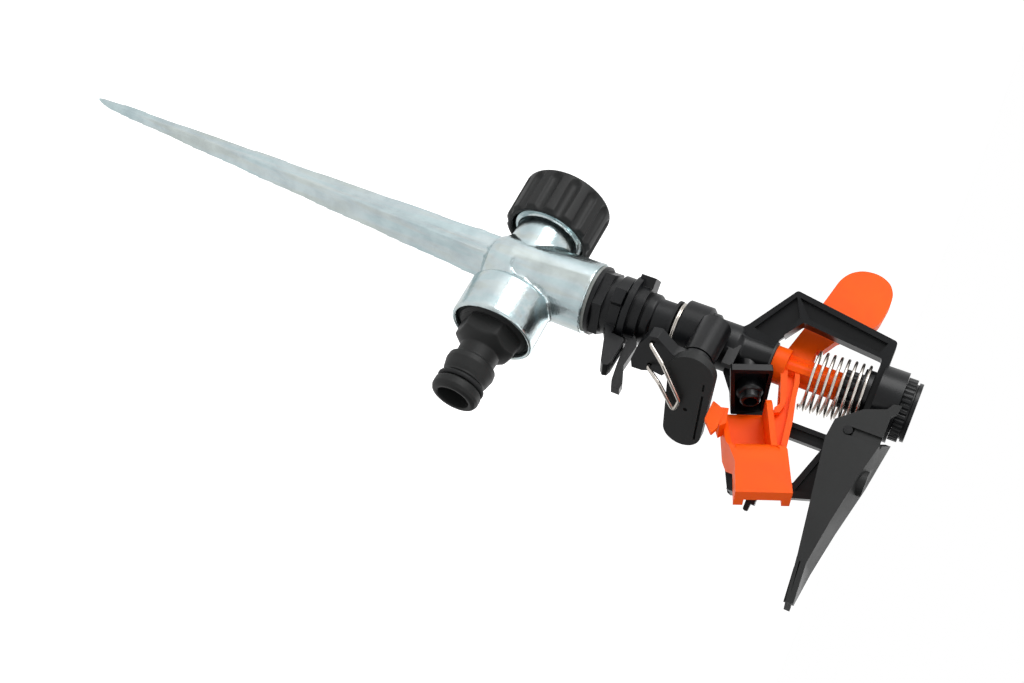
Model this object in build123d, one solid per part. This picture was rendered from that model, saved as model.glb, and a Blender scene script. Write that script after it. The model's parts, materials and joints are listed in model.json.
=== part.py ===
from build123d import *
import os
from math import atan2, cos, degrees, radians, sin, tan

# Impulse sprinkler on a ground spike, upright as it stands in the lawn.
# Millimetres. Origin on the main axis at the spike's shoulder, where the soil line is.
# +Z up along the main axis, +X along the hose inlet, so the camera side is -Y.
# Azimuths are degrees from +X, anticlockwise seen from above.

# General clearances
RUN = 0.1
FIT = 0.05
GAP = 0.3

# Spike
SPIKE_LENGTH = 174.0
SPIKE_ROOT_R = 8.4
SPIKE_TIP_R = 2.0
SPIKE_HOLLOW = 0.56
SPIKE_ROOT_X = -1.6
SPIKE_TIP_X = -8.6
SPIKE_TURN = 24.0
SPIKE_POINT = 6.0

# Tee casting
PORT_Z = 15.0
RISER_TOP = 40.5
RISER_R = 12.3
RISER_THREAD_R = 10.3
RISER_BORE_DEPTH = 19.5
WATERWAY_R = 6.5
COLLAR_X0 = 9.5
COLLAR_X1 = 26.0
COLLAR_R = 14.7
COLLAR_BORE_R = 13.4
COLLAR_BORE_DEPTH = 13.6
NECK_R = 10.8
END_NECK_X = 17.5
END_THREAD_X = 30.0
END_THREAD_R = 13.2
END_BORE_R = 8.5
END_THREAD_RINGS = 5
FLAT_AZIMUTH = -72.0
FLAT_DEPTH = 0.7
FLAT_WIDTH = 9.0

# Hose inlet nipple, along +X
GASKET_T = 2.0
NIPPLE_BORE_R = 5.5
NIPPLE_HEX_AF = 19.0
NIPPLE_NECK_R = 6.9
NIPPLE_BODY_R = 8.3
NIPPLE_LIP_R = 8.2
NIPPLE_GROOVE_R = 6.3
NIPPLE_END_X = 53.0
O_RING_R = 0.95

# End cap on the through port, along -X
CAP_RIM_X = 16.4
CAP_LENGTH = 17.6
CAP_R = 16.4
CAP_TAPER = 0.4
CAP_WALL = 2.4
CAP_FLUTES = 10
FLUTE_R = 2.1
CAP_WASHER_T = 1.6

# Bearing, up the main axis from the riser's rim
WASHER_T = 0.9
NUT_FLANGE_R = 11.8
NUT_FLANGE_T = 1.8
NUT_HEX_AF = 20.4
NUT_HEX_T = 3.2
NUT_COLLAR_R = 9.8
NUT_NECK_R = 8.2
NUT_SHANK = 13.0
LOWER_COLLAR_Z = 48.8
LOWER_COLLAR_T = 3.8
LOWER_COLLAR_R = 10.9
UPPER_COLLAR_Z = 53.1
UPPER_COLLAR_T = 5.8
UPPER_COLLAR_R = 12.4
SLEEVE_FLANGE_R = 8.7
SLEEVE_FLANGE_T = 3.2
SLEEVE_R = 7.75
SLEEVE_Z = 59.4
SLEEVE_TOP = 68.3
SEAL_R = 9.0
SEAL_T = 0.9
COIL_WIRE_R = 0.45
COIL_TURNS = 2
COIL_R = 8.35
TUBE_R = 5.7
TUBE_BORE_R = 4.2
TUBE_FLANGE_R = 8.6
TUBE_FLANGE_T = 2.0
TUBE_SOCKET = 11.0
BEARING_WASHERS = 3
BEARING_WASHER_T = 0.95

# Collar tabs
TAB_AZIMUTH = -10.0
LOWER_TAB_REACH = 27.0
LOWER_TAB_W = 5.4
BLADE_Z = 57.7
UPPER_TAB_AZIMUTH = -3.0
UPPER_TAB_REACH = 30.4
UPPER_TAB_W = 3.4
GRIP_AZIMUTH = -74.0
LUG_AZIMUTH = -150.0

# Head
BASE_Z = 71.4
BASE_R = 10.35
BASE_TOP = 80.3
STEP_R = 9.0
STEP_TOP = 82.8
COLUMN_R = 8.0
COLUMN_TOP = 90.5
POST_R = 6.0
POST_TOP = 102.0
HEAD_WATERWAY_R = 4.2

# Jet, through the nozzle
JET_AZIMUTH = -6.0
JET_ELEVATION = 24.0
JET_TIP_R = 17.3
JET_TIP_Z = 101.5
BARREL_R = 3.9
BARREL_BORE_R = 2.7
HOOD_HALF_U = 8.5
HOOD_TOP_V = 6.6
HOOD_FOOT_V = 5.2
HOOD_FLOOR = 7.0
HOOD_LIP = 6.0
HOOD_REACH = 1.2
HOOD_WALL = 1.3
NOZZLE_COLLAR_R = 4.3
NOZZLE_TIP_R = 3.2
NOZZLE_BORE_R = 2.1
NOZZLE_STEP = 2.6

# Bridge over the arm
BRIDGE_AZIMUTH = 22.6
BRIDGE_DEPTH = 7.6
BRIDGE_WEB = 2.2
BRIDGE_FLANGE = 1.5
BRIDGE_TOP = 136.2
BRIDGE_TOP_T = 2.6
TOP_BOSS_R = 11.4
TOP_BOSS_T = 6.8
LIMB_IN_R = 15.9
LIMB_OUT_R = 20.7
ARM_RELIEF = 0.6
ARM_RELIEF_Z = 111.0
STOP_R = 40.2
STOP_Z = 105.6

# Arm shaft and what turns on it
SHAFT_R = 2.0
SHAFT_SOCKET = 5.0
ARM_WASHER_T = 0.6
ARM_WASHER_R = 6.8
HUB_Z = 102.8
HUB_R = 6.0
HUB_TOP = 107.3
ARM_POST_R = 3.1
ARM_FIN_R = 4.5
ARM_FIN_T = 1.6
ARM_POST_TOP = 124.2
ARM_SWING = 100.0
SEAT_Z = 124.5
SEAT_R = 6.2
SEAT_TEETH = 12
SEAT_FLANGE_R = 8.3
SEAT_FLANGE_T = 3.2
SPRING_WIRE_R = 0.5
SPRING_R = 9.35
SPRING_LEAN = 3.0
SPRING_LEAN_AZIMUTH = 33.0
SPRING_OFFSET = 0.25
SPRING_Z0 = 114.9
SPRING_Z1 = 132.8
SPRING_TURNS = 8.5

# Arm's spoon, in the jet's frame: u across, v up, w out from the nozzle's tip
SPOON_FLOOR_U = 5.0
SPOON_T = 1.5
SPOON_START = 0.8
SPOON_END = 36.5
SPOON_LEFT_V = -9.1
VANE_V = 4.1
COVER_START = 18.0
COVER_U = -6.6
COVER_SIDE_V = 8.7
END_LIP_U = -2.2
FOOT_U = 0.8

# Flap over the jet, in its own upright plane
FLAP_AZIMUTH = 8.0
FLAP_NEAR = 13.0
FLAP_FAR = 3.0
FLAP_T = 1.6
FLAP_PIN_R = 1.35
FLAP_PIN_X = 17.8
FLAP_PIN_Z = 132.1
FLAP_LUG_R = 3.0
FLAP_TIP_X = 73.0
FLAP_TIP_Z = 134.7
FLAP_TILT = 8.0

# Adjusting knob on the top boss
KNOB_R = 10.1
KNOB_T = 2.9
KNOB_TEETH = 36
KNOB_DISC_R = 9.5
KNOB_DISC_T = 1.2
KNOB_GAP = 0.6
KNOB_STEM_R = 4.4
KNOB_STEM = 4.6

# Reversing pawl and trip lever, both on one cross axis
PAWL_AZIMUTH = -14.0
PAWL_SIDE = 10.0
PAWL_Z = 83.2
PAWL_BOSS_R = 5.2
PAWL_BOSS_START = 4.0
PAWL_BOSS_END = 20.2
PAWL_STEM_R = 3.4
PAWL_PLATE_S = 25.6
PAWL_PLATE_T = 3.0
PAWL_R = 7.3
PAWL_TAIL_R = 6.3
PAWL_REACH = 24.6
LEVER_HUB_R = 5.0
CLIP_Z = 63.7
TRIP_WIRE_R = 0.65
TRIP_WIRE_ENDS = ((-15.6, 69.9), (-6.0, 70.0))


def direction(azimuth, elevation=0.0):
    """Unit vector at an azimuth and an elevation."""
    a = radians(azimuth)
    e = radians(elevation)
    return Vector(cos(e) * cos(a), cos(e) * sin(a), sin(e))


def upright(azimuth):
    """Vertical plane through the main axis: local x outwards, y up, z towards azimuth - 90."""
    return Plane(origin=(0, 0, 0), x_dir=direction(azimuth), z_dir=direction(azimuth - 90))


def facing(azimuth, distance):
    """Vertical plane square to an azimuth, at a distance: local x towards azimuth + 90, y up."""
    away = direction(azimuth)
    return Plane(origin=away * distance, x_dir=direction(azimuth + 90), z_dir=away)


def disc(radius, z0, z1, bore=0.0):
    """Upright round plate or ring from z0 to z1."""
    body = Pos(0, 0, (z0 + z1) / 2) * Cylinder(radius, z1 - z0)
    if bore:
        body -= Pos(0, 0, (z0 + z1) / 2) * Cylinder(bore, z1 - z0 + 1)
    return body


def hexagon(across_flats, height):
    """Hexagonal prism standing on z = 0."""
    return extrude(RegularPolygon(across_flats / 2, 6, major_radius=False), height)


def turned(points):
    """Solid turned about the main axis from points (radius, height)."""
    face = Plane.XZ * Polygon(*points, align=None)
    return revolve(face, Axis.Z)


def turned_along_x(points):
    """Solid turned about the X axis from points (x, radius)."""
    face = Plane.XY * Polygon(*points, align=None)
    return revolve(face, Axis.X)


def plate(plane, points, near, far, rounding=0.0):
    """Flat plate from an outline in a plane, filling local z from near to far."""
    face = Polygon(*points, align=None)
    if rounding:
        face = fillet(face.vertices(), rounding)
    return plane.location * (Pos(0, 0, near) * extrude(face, far - near, dir=(0, 0, 1)))


def bar(plane, x0, x1, y0, y1, z0, z1):
    """Rectangular block given by its corners in a plane's own axes."""
    block = Box(x1 - x0, y1 - y0, z1 - z0)
    return plane.location * (Pos((x0 + x1) / 2, (y0 + y1) / 2, (z0 + z1) / 2) * block)


def coil(radius, wire, z0, z1, turns):
    """Round-wire coil about the main axis, wire centre rising from z0 to z1."""
    path = Edge.make_helix(pitch=(z1 - z0) / turns, height=z1 - z0, radius=radius)
    section = Plane(origin=path @ 0, z_dir=path % 0).location * Circle(wire)
    return Pos(0, 0, z0) * sweep(section, path=path, is_frenet=True)


# Casting


def star(radius, hollow, x, z):
    """Four-ridged section of the spike: ridges at radius, hollows between them."""
    corners = []
    for step in range(8):
        reach = radius if step % 2 == 0 else radius * hollow
        angle = radians(SPIKE_TURN + 45 * step)
        corners.append((reach * cos(angle), reach * sin(angle)))
    return Pos(x, 0, z) * Polygon(*corners, align=None)


def spike():
    """Cruciform spike, drawn to a blunt point, leaning to the end-cap side as cast."""
    blade_end = -SPIKE_LENGTH + SPIKE_POINT
    root = star(SPIKE_ROOT_R, SPIKE_HOLLOW, SPIKE_ROOT_X, 4.0)
    end = star(SPIKE_TIP_R, SPIKE_HOLLOW, SPIKE_TIP_X, blade_end)
    tip = star(SPIKE_TIP_R * 0.4, SPIKE_HOLLOW, SPIKE_TIP_X - 0.8, -SPIKE_LENGTH)
    return loft([root, end], ruled=True) + loft([end, tip], ruled=True)


def spike_base():
    """Spike, riser, inlet collar and through-port neck, one zinc casting."""
    shoulder = NECK_R
    riser = turned([(0, 1), (6.5, 1), (9.6, 3.2), (11.4, 6.5), (RISER_R - 0.5, shoulder),
                    (RISER_R, RISER_TOP), (0, RISER_TOP)])
    inlet = turned_along_x([(0, 0), (0, NECK_R), (COLLAR_X0 - 1, NECK_R), (COLLAR_X0, COLLAR_R - 1.6),
                            (COLLAR_X0 + 1.6, COLLAR_R), (COLLAR_X1 - 0.6, COLLAR_R),
                            (COLLAR_X1, COLLAR_R - 0.6), (COLLAR_X1, 0)])
    neck = turned_along_x([(0, 0), (0, NECK_R), (-END_NECK_X, NECK_R), (-END_NECK_X, END_THREAD_R - 0.6),
                           (-END_THREAD_X, END_THREAD_R - 0.6), (-END_THREAD_X, 0)])
    body = spike() + riser + Pos(0, 0, PORT_Z) * (inlet + neck)
    pitch = (END_THREAD_X - END_NECK_X) / END_THREAD_RINGS
    for ring in range(END_THREAD_RINGS):
        x = -END_NECK_X - ring * pitch
        crest = turned_along_x([(x, 6), (x, END_THREAD_R - 0.6), (x - pitch * 0.3, END_THREAD_R),
                                (x - pitch * 0.6, END_THREAD_R), (x - pitch * 0.9, END_THREAD_R - 0.6),
                                (x - pitch * 0.9, 6)])
        body += Pos(0, 0, PORT_Z) * crest
    seat = RISER_TOP - RISER_BORE_DEPTH
    body -= disc(RISER_THREAD_R, seat, RISER_TOP + 1)
    body -= disc(WATERWAY_R, PORT_Z, seat + 1)
    across = Pos(0, 0, PORT_Z) * Rot(0, 90, 0)
    body -= across * disc(COLLAR_BORE_R, COLLAR_X1 - COLLAR_BORE_DEPTH, COLLAR_X1 + 1)
    body -= across * disc(WATERWAY_R, -END_THREAD_X - 1, COLLAR_X1)
    body -= across * disc(END_BORE_R, -END_THREAD_X - 1, -END_NECK_X)
    side = facing(FLAT_AZIMUTH, RISER_R - FLAT_DEPTH)
    half = FLAT_WIDTH / 2
    land = Polygon((-half, PORT_Z + 2), (half, PORT_Z + 2), (half, RISER_TOP - 1.5),
                   (-half, RISER_TOP - 1.5), align=None)
    land += Pos(0, PORT_Z + 2) * Circle(half)
    return body - side.location * extrude(land, 3, dir=(0, 0, 1))


def inlet_nipple():
    """Quick-connect hose nipple with a threaded root, a hexagon and an O-ring groove."""
    root = COLLAR_X1 - COLLAR_BORE_DEPTH + GASKET_T
    r = COLLAR_BORE_R - FIT
    hex_x = COLLAR_X1 - 0.4
    shape = turned_along_x([(root, 0), (root, r), (hex_x - 1.6, r), (hex_x - 1.2, r - 1.0),
                            (hex_x - 0.6, r - 1.4), (hex_x, r - 2.6), (hex_x, 0)])
    flats = Rot(0, 90, 0) * hexagon(NIPPLE_HEX_AF, 9)
    end = hex_x + 8.4
    bevel = turned_along_x([(hex_x - 1, 0), (hex_x - 1, 11.2), (end - 3.2, 10.6),
                            (end, NIPPLE_NECK_R), (end, 0)])
    shape += (Pos(hex_x - 0.5, 0, 0) * flats) & bevel
    b = NIPPLE_BODY_R
    lip = NIPPLE_LIP_R
    g = NIPPLE_GROOVE_R
    tip = NIPPLE_END_X
    shape += turned_along_x([(end - 1, 0), (end - 1, NIPPLE_NECK_R), (38.4, NIPPLE_NECK_R - 0.2),
                             (39.2, b), (41.2, b + 0.2), (44.2, b - 0.5), (45.4, b - 1.0),
                             (46.2, b - 1.0), (46.2, g), (48.6, g), (48.6, lip - 0.5), (49.2, lip),
                             (tip - 1.6, lip), (tip - 0.5, lip - 0.6), (tip, lip - 1.7), (tip, 0)])
    shape -= Rot(0, 90, 0) * disc(NIPPLE_BORE_R, root - 1, tip + 1)
    return Pos(0, 0, PORT_Z) * shape


def nipple_gasket():
    """Flat rubber gasket in the bottom of the inlet collar."""
    x = COLLAR_X1 - COLLAR_BORE_DEPTH
    ring = disc(COLLAR_BORE_R - 0.3, x, x + GASKET_T, WATERWAY_R + 1)
    return Pos(0, 0, PORT_Z) * Rot(0, 90, 0) * ring


def nipple_o_ring():
    """O-ring in the nipple's groove."""
    ring = Torus(NIPPLE_GROOVE_R + O_RING_R, O_RING_R)
    return Pos(47.4, 0, PORT_Z) * Rot(0, 90, 0) * ring


def end_cap():
    """Screw cap with grip flutes that are round at the closed end and open at the rim."""
    rim = CAP_RIM_X
    end = rim + CAP_LENGTH
    shell = turned_along_x([(-rim, 0), (-rim, CAP_R - 1.6), (-rim - 1.2, CAP_R - CAP_TAPER),
                            (-end + 0.8, CAP_R), (-end, CAP_R - 0.8), (-end, 0)])
    shell -= Rot(0, -90, 0) * disc(END_THREAD_R + GAP, rim - 1, end - CAP_WALL)
    for flute in range(CAP_FLUTES):
        groove = Rot(0, -90, 0) * (Pos(CAP_R + 0.8, 0, 0) * disc(FLUTE_R, rim - 1, end - 4.5))
        groove += Pos(-end + 4.5, 0, CAP_R + 0.8) * Sphere(FLUTE_R)
        shell -= Rot(360 / CAP_FLUTES * (flute + 0.5), 0, 0) * groove
    return Pos(0, 0, PORT_Z) * shell


def end_cap_washer():
    """Sealing washer in the bottom of the end cap."""
    end = CAP_RIM_X + CAP_LENGTH - CAP_WALL
    ring = disc(END_THREAD_R - 0.4, end - CAP_WASHER_T, end, END_BORE_R)
    return Pos(0, 0, PORT_Z) * Rot(0, -90, 0) * ring


# Bearing


def riser_washer():
    """Fibre washer between the riser's rim and the bearing nut."""
    return disc(RISER_R - 0.9, RISER_TOP, RISER_TOP + WASHER_T, RISER_THREAD_R + 0.1)


def bearing_nut():
    """Threaded bearing nut: shank, round flange, hexagon and the neck that carries the collars."""
    z = RISER_TOP + WASHER_T
    hex_z = z + NUT_FLANGE_T
    shank = disc(RISER_THREAD_R - FIT, z - NUT_SHANK, z + 0.5)
    flange = turned([(0, z), (NUT_FLANGE_R - 0.4, z), (NUT_FLANGE_R, z + 0.4),
                     (NUT_FLANGE_R, hex_z - 0.3), (NUT_FLANGE_R - 0.3, hex_z), (0, hex_z)])
    flats = Pos(0, 0, hex_z) * Rot(0, 0, 8) * hexagon(NUT_HEX_AF, NUT_HEX_T)
    collar = disc(NUT_COLLAR_R, hex_z, LOWER_COLLAR_Z - RUN)
    neck = disc(NUT_NECK_R, hex_z, SLEEVE_Z)
    nut = shank + flange + flats + collar + neck
    return nut - disc(TUBE_R + RUN, z - NUT_SHANK - 1, SLEEVE_Z + 1)


def lower_trip_collar():
    """Lower trip collar: ring, thumb tab and a forked trip tab that stands up past the upper collar."""
    z0 = LOWER_COLLAR_Z
    z1 = z0 + LOWER_COLLAR_T
    ring = disc(LOWER_COLLAR_R, z0, z1)
    ring += bar(upright(GRIP_AZIMUTH), 9.5, 13.4, z0 + 0.3, z1 + 0.3, -2.6, 2.6)
    tab = upright(TAB_AZIMUTH)
    root = UPPER_COLLAR_R + 1.0
    tip = LOWER_TAB_REACH
    top = BLADE_Z - GAP
    half = LOWER_TAB_W / 2
    arm = plate(tab, [(9.3, z0), (9.3, z1), (root, z1), (root + 0.4, top - 0.6), (root + 1.2, top), (tip - 2.2, top),
                      (tip - 0.4, top - 0.5), (tip, top - 2.0), (tip - 1.4, top - 3.2), (root, z0 + 1.4), (11, z0)],
                -half, half)
    slot = bar(tab, root + 2, tip - 3, z0, top + 1, -half + 1.6, half - 1.6)
    ring += arm - slot
    return ring - disc(NUT_NECK_R + RUN, z0 - 1, z1 + 1)


def upper_trip_collar():
    """Upper trip collar: stepped ring, thumb lug and a long bent trip blade."""
    z0 = UPPER_COLLAR_Z
    z1 = z0 + UPPER_COLLAR_T
    step = z0 + 2.4
    ring = turned([(0, z0), (UPPER_COLLAR_R - 0.4, z0), (UPPER_COLLAR_R, z0 + 0.4),
                   (UPPER_COLLAR_R, step), (10.2, step), (10.2, z1), (0, z1)])
    ring += bar(upright(LUG_AZIMUTH), 7, UPPER_COLLAR_R + 0.5, z0 + 0.6, z1, -4.2, 4.2)
    tab = upright(UPPER_TAB_AZIMUTH)
    tip = UPPER_TAB_REACH
    low = BLADE_Z
    outline = [(8.8, step), (8.8, z1), (11.5, low + 3.1), (13.4, low + 3.6), (21.4, low + 2.8), (tip - 2.6, low + 5.2),
               (tip, low + 5.2), (tip, low + 2.4), (tip - 2.6, low + 1.5), (21.0, low + 0.5), (16.0, low),
               (12.0, low), (11.0, step)]
    blade = plate(tab, outline, -UPPER_TAB_W / 2, UPPER_TAB_W / 2)
    return ring + blade - disc(NUT_NECK_R + RUN, z0 - 1, z1 + 1)


def bearing_sleeve():
    """Flanged bush that guides the turning tube above the collars."""
    z = SLEEVE_Z
    shape = turned([(0, z), (SLEEVE_FLANGE_R, z), (SLEEVE_FLANGE_R, z + SLEEVE_FLANGE_T - 0.8),
                    (SLEEVE_FLANGE_R - 0.5, z + SLEEVE_FLANGE_T), (SLEEVE_R, z + SLEEVE_FLANGE_T),
                    (SLEEVE_R, SLEEVE_TOP), (0, SLEEVE_TOP)])
    return shape - disc(TUBE_R + RUN, z - 1, SLEEVE_TOP + 1)


def sand_seal():
    """Thin ring that keeps sand out of the bearing, under the coil spring."""
    return disc(SEAL_R, SLEEVE_TOP + FIT, SLEEVE_TOP + FIT + SEAL_T, TUBE_R + FIT)


def bearing_spring():
    """Two-turn coil spring that lifts the head against the bearing washers."""
    z0 = SLEEVE_TOP + FIT + SEAL_T + COIL_WIRE_R + 0.02
    z1 = BASE_Z - COIL_WIRE_R - 0.02
    return coil(COIL_R, COIL_WIRE_R, z0, z1, COIL_TURNS)


def tube_bottom():
    """Height of the underside of the spindle tube's flange."""
    nut_bottom = RISER_TOP + WASHER_T - NUT_SHANK
    return nut_bottom - BEARING_WASHERS * BEARING_WASHER_T - 2 * FIT - TUBE_FLANGE_T


def spindle_tube():
    """Tube that carries the water up and on which the head turns."""
    z0 = tube_bottom()
    tube = disc(TUBE_R, z0, BASE_Z + TUBE_SOCKET)
    tube += disc(TUBE_FLANGE_R, z0, z0 + TUBE_FLANGE_T)
    return tube - disc(TUBE_BORE_R, z0 - 1, BASE_Z + TUBE_SOCKET + 1)


def bearing_washers():
    """Stack of bearing washers between the tube's flange and the nut."""
    z = tube_bottom() + TUBE_FLANGE_T + FIT
    stack = []
    for n in range(BEARING_WASHERS):
        bottom = z + n * BEARING_WASHER_T
        stack.append(disc(TUBE_FLANGE_R - 0.2, bottom, bottom + BEARING_WASHER_T - 0.02, TUBE_R + RUN))
    return stack


# Head


def jet_frame():
    """Frame at the nozzle's tip: local x across, y up, z out along the jet."""
    tip = direction(JET_AZIMUTH) * JET_TIP_R + Vector(0, 0, JET_TIP_Z)
    return Plane(origin=tip, x_dir=direction(JET_AZIMUTH + 90), z_dir=direction(JET_AZIMUTH, JET_ELEVATION))


def jet_length():
    """Length of the waterway from the main axis to the nozzle's tip."""
    return JET_TIP_R / cos(radians(JET_ELEVATION))


def hood_face(inset):
    """Tapered face of the hood across the jet, drawn in by an inset all round."""
    u = HOOD_HALF_U - inset
    top = HOOD_TOP_V - inset
    foot = HOOD_FOOT_V - inset
    return Polygon((-u, -top), (-u, top), (u, foot), (u, -foot), align=None)


def hood_cavity():
    """Space inside the hood, kept clear for the nozzle and the jet."""
    return jet_frame().location * (Pos(0, 0, -HOOD_FLOOR) * extrude(hood_face(HOOD_WALL), 12, dir=(0, 0, 1)))


def hood():
    """Splash hood round the nozzle: a tapered box with a sloping front edge, still solid."""
    u = HOOD_HALF_U
    frame = jet_frame()
    outer = hood_face(0)
    back = -HOOD_FLOOR - HOOD_WALL
    box = Pos(0, 0, back) * extrude(fillet(outer.vertices(), 0.6), -back, dir=(0, 0, 1))
    slope = degrees(atan2(HOOD_LIP - HOOD_REACH, 2 * u))
    front = Pos(-u, 0, -HOOD_LIP) * Rot(0, -slope, 0) * Pos(0, 0, 20) * Box(60, 40, 40)
    return frame.location * (box - front)


def bridge_outline():
    """Outer edge of the bridge in its own plane, from the column round the top."""
    return [(-COLUMN_R + 1.5, 89.5), (-8.6, 91.6), (-24.0, 102.2), (-18.8, BRIDGE_TOP),
            (LIMB_OUT_R, BRIDGE_TOP), (LIMB_OUT_R, 126.4), (LIMB_OUT_R, 99.0), (8.6, 89.5)]


def bridge():
    """Closed bridge frame of channel section, with the outrigger that stops the arm."""
    plane = upright(BRIDGE_AZIMUTH)
    half = BRIDGE_DEPTH / 2
    frame = plate(plane, bridge_outline(), -half, half, 1.2)
    sill = BRIDGE_TOP - BRIDGE_TOP_T
    clear = ARM_WASHER_R + 0.6
    window = [(-14.8, 107.3), (-clear, POST_TOP), (clear, POST_TOP), (LIMB_IN_R, 106.0), (LIMB_IN_R, sill),
              (-12.2, sill)]
    frame -= plate(plane, window, -half - 1, half + 1, 1.0)
    flange = BRIDGE_FLANGE
    pockets = [
        [(-14.8 - flange, 107.3 + flange), (-12.2 - flange, sill - flange), (-18.8 + flange, sill),
         (-24.0 + flange + 0.4, 103.6)],
        [(-22.0, 102.6), (-16.0, 105.8), (-6.0, 102.0), (-8.2, 93.6)],
        [(LIMB_IN_R + flange, 105.0), (LIMB_IN_R + flange, 131.0), (LIMB_OUT_R - flange, 131.0),
         (LIMB_OUT_R - flange, 100.6)],
    ]
    web = BRIDGE_WEB / 2
    for pocket in pockets:
        frame -= plate(plane, pocket, web, half + 1)
        frame -= plate(plane, pocket, -half - 1, -web)
    frame -= bar(plane, 12.5, LIMB_OUT_R + 1, 95, ARM_RELIEF_Z, ARM_RELIEF, half + 1)
    return frame + outrigger()


def outrigger():
    """Triangular gusset and hanging bar outside the front limb, with the arm's stop block."""
    plane = upright(BRIDGE_AZIMUTH)
    half = BRIDGE_DEPTH / 2
    web = BRIDGE_WEB / 2
    edge = [(LIMB_OUT_R - 1, 131.4), (STOP_R - 4.0, 129.0), (STOP_R + 3.7, STOP_Z - 1.0),
            (STOP_R - 3.4, STOP_Z - 4.6), (STOP_R - 6.6, 121.9), (LIMB_OUT_R - 1, 126.6)]
    shape = plate(plane, edge, -half, half, 0.6)
    recess = [(LIMB_OUT_R + 0.6, 129.6), (STOP_R - 5.6, 127.2), (STOP_R - 4.6, 123.2), (LIMB_OUT_R + 0.6, 127.9)]
    shape -= plate(plane, recess, web, half + 1)
    shape -= plate(plane, recess, -half - 1, -web)
    rail = STOP_Z + 5.8
    shape += bar(plane, STOP_R - 0.6, STOP_R + 4.0, rail, rail + 2.0, -2.0, 2.0)
    peg = [(STOP_R + 1.2, rail - 1.0), (STOP_R + 6.5, rail - 1.0), (STOP_R + 6.5, rail + 0.6), (STOP_R + 1.2, rail + 1.0)]
    shape += plate(plane, peg, -1.2, 1.2, 0.6)
    turn = radians(BRIDGE_AZIMUTH - JET_AZIMUTH)
    reach = (STOP_R * sin(turn) - FOOT_U - GAP) / cos(turn)
    return shape + bar(plane, STOP_R, STOP_R + 3.4, STOP_Z, STOP_Z + 3.0, 0, reach)


def pawl_plane(distance):
    """Plane square to the pawl's axis, with its local origin on the main axis."""
    return facing(PAWL_AZIMUTH, distance)


def head_body():
    """Moulded head: base, column, barrel, hood, pawl boss, bridge and top boss."""
    base = turned([(0, BASE_Z), (BASE_R - 0.3, BASE_Z), (BASE_R, BASE_Z + 0.3),
                   (BASE_R, BASE_TOP - 0.9), (BASE_R - 0.9, BASE_TOP), (STEP_R, BASE_TOP),
                   (STEP_R, STEP_TOP - 0.5), (STEP_R - 0.5, STEP_TOP), (COLUMN_R, STEP_TOP),
                   (COLUMN_R, COLUMN_TOP), (POST_R, COLUMN_TOP + 2.5), (POST_R, POST_TOP), (0, POST_TOP)])
    length = jet_length()
    frame = jet_frame().location
    barrel = frame * (Pos(0, 0, -HOOD_FLOOR - length / 2 + HOOD_FLOOR / 2)
                      * Cylinder(BARREL_R, length - HOOD_FLOOR))
    boss = pawl_plane(0).location * (Pos(-PAWL_SIDE, PAWL_Z, 0)
                                     * disc(PAWL_BOSS_R, PAWL_BOSS_START, PAWL_BOSS_END))
    top = disc(TOP_BOSS_R, BRIDGE_TOP - 0.6, BRIDGE_TOP + TOP_BOSS_T)
    flap_frame = upright(FLAP_AZIMUTH).location
    lug = flap_frame * (Pos(FLAP_PIN_X, FLAP_PIN_Z, 0)
                        * disc(FLAP_LUG_R, -3.5, FLAP_NEAR - FLAP_T - GAP))
    rest = bar(upright(JET_AZIMUTH), 2.5, 11.4, 89.0, 92.4, 4.4, 6.4)
    body = base + barrel + boss + top + hood() + bridge() + lug + rest - hood_cavity()
    body -= disc(TUBE_R + FIT, BASE_Z - 1, BASE_Z + TUBE_SOCKET)
    body -= disc(HEAD_WATERWAY_R, BASE_Z, JET_TIP_Z - JET_TIP_R * tan(radians(JET_ELEVATION)))
    body -= frame * (Pos(0, 0, -length / 2) * Cylinder(BARREL_BORE_R, length))
    body -= disc(SHAFT_R + FIT, POST_TOP - SHAFT_SOCKET, POST_TOP + 1)
    body -= disc(SHAFT_R + FIT, BRIDGE_TOP - BRIDGE_TOP_T - 1, BRIDGE_TOP + 1)
    body -= disc(KNOB_STEM_R + RUN, BRIDGE_TOP + TOP_BOSS_T - KNOB_STEM - 0.4, BRIDGE_TOP + TOP_BOSS_T + 1)
    stem = pawl_plane(0).location * (Pos(-PAWL_SIDE, PAWL_Z, 0)
                                     * disc(PAWL_STEM_R + RUN, PAWL_BOSS_START + 3, PAWL_BOSS_END + 1))
    body -= stem
    body -= flap_frame * (Pos(FLAP_PIN_X, FLAP_PIN_Z, 0) * disc(FLAP_PIN_R + FIT, 3.0, FLAP_NEAR))
    return body


def nozzle():
    """Nozzle pressed into the barrel: shank, seating collar and tip."""
    seat = -HOOD_FLOOR
    shape = turned([(0, seat - 4), (BARREL_BORE_R - FIT, seat - 4), (BARREL_BORE_R - FIT, seat),
                    (NOZZLE_COLLAR_R, seat), (NOZZLE_COLLAR_R, -NOZZLE_STEP - 0.8),
                    (NOZZLE_COLLAR_R - 0.8, -NOZZLE_STEP), (NOZZLE_TIP_R, -NOZZLE_STEP),
                    (NOZZLE_TIP_R, -0.6), (NOZZLE_TIP_R - 0.6, 0), (0, 0)])
    shape -= disc(NOZZLE_BORE_R, seat - 5, 1)
    return jet_frame().location * shape


# Arm and its shaft


def arm_shaft():
    """Steel shaft on which the arm turns, held in the post and in the bridge."""
    return disc(SHAFT_R, POST_TOP - SHAFT_SOCKET + 0.2, BRIDGE_TOP + 0.6)


def arm_washer():
    """Thin washer under the arm's hub."""
    return disc(ARM_WASHER_R, POST_TOP + 0.02, POST_TOP + 0.02 + ARM_WASHER_T, SHAFT_R + FIT)


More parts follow.
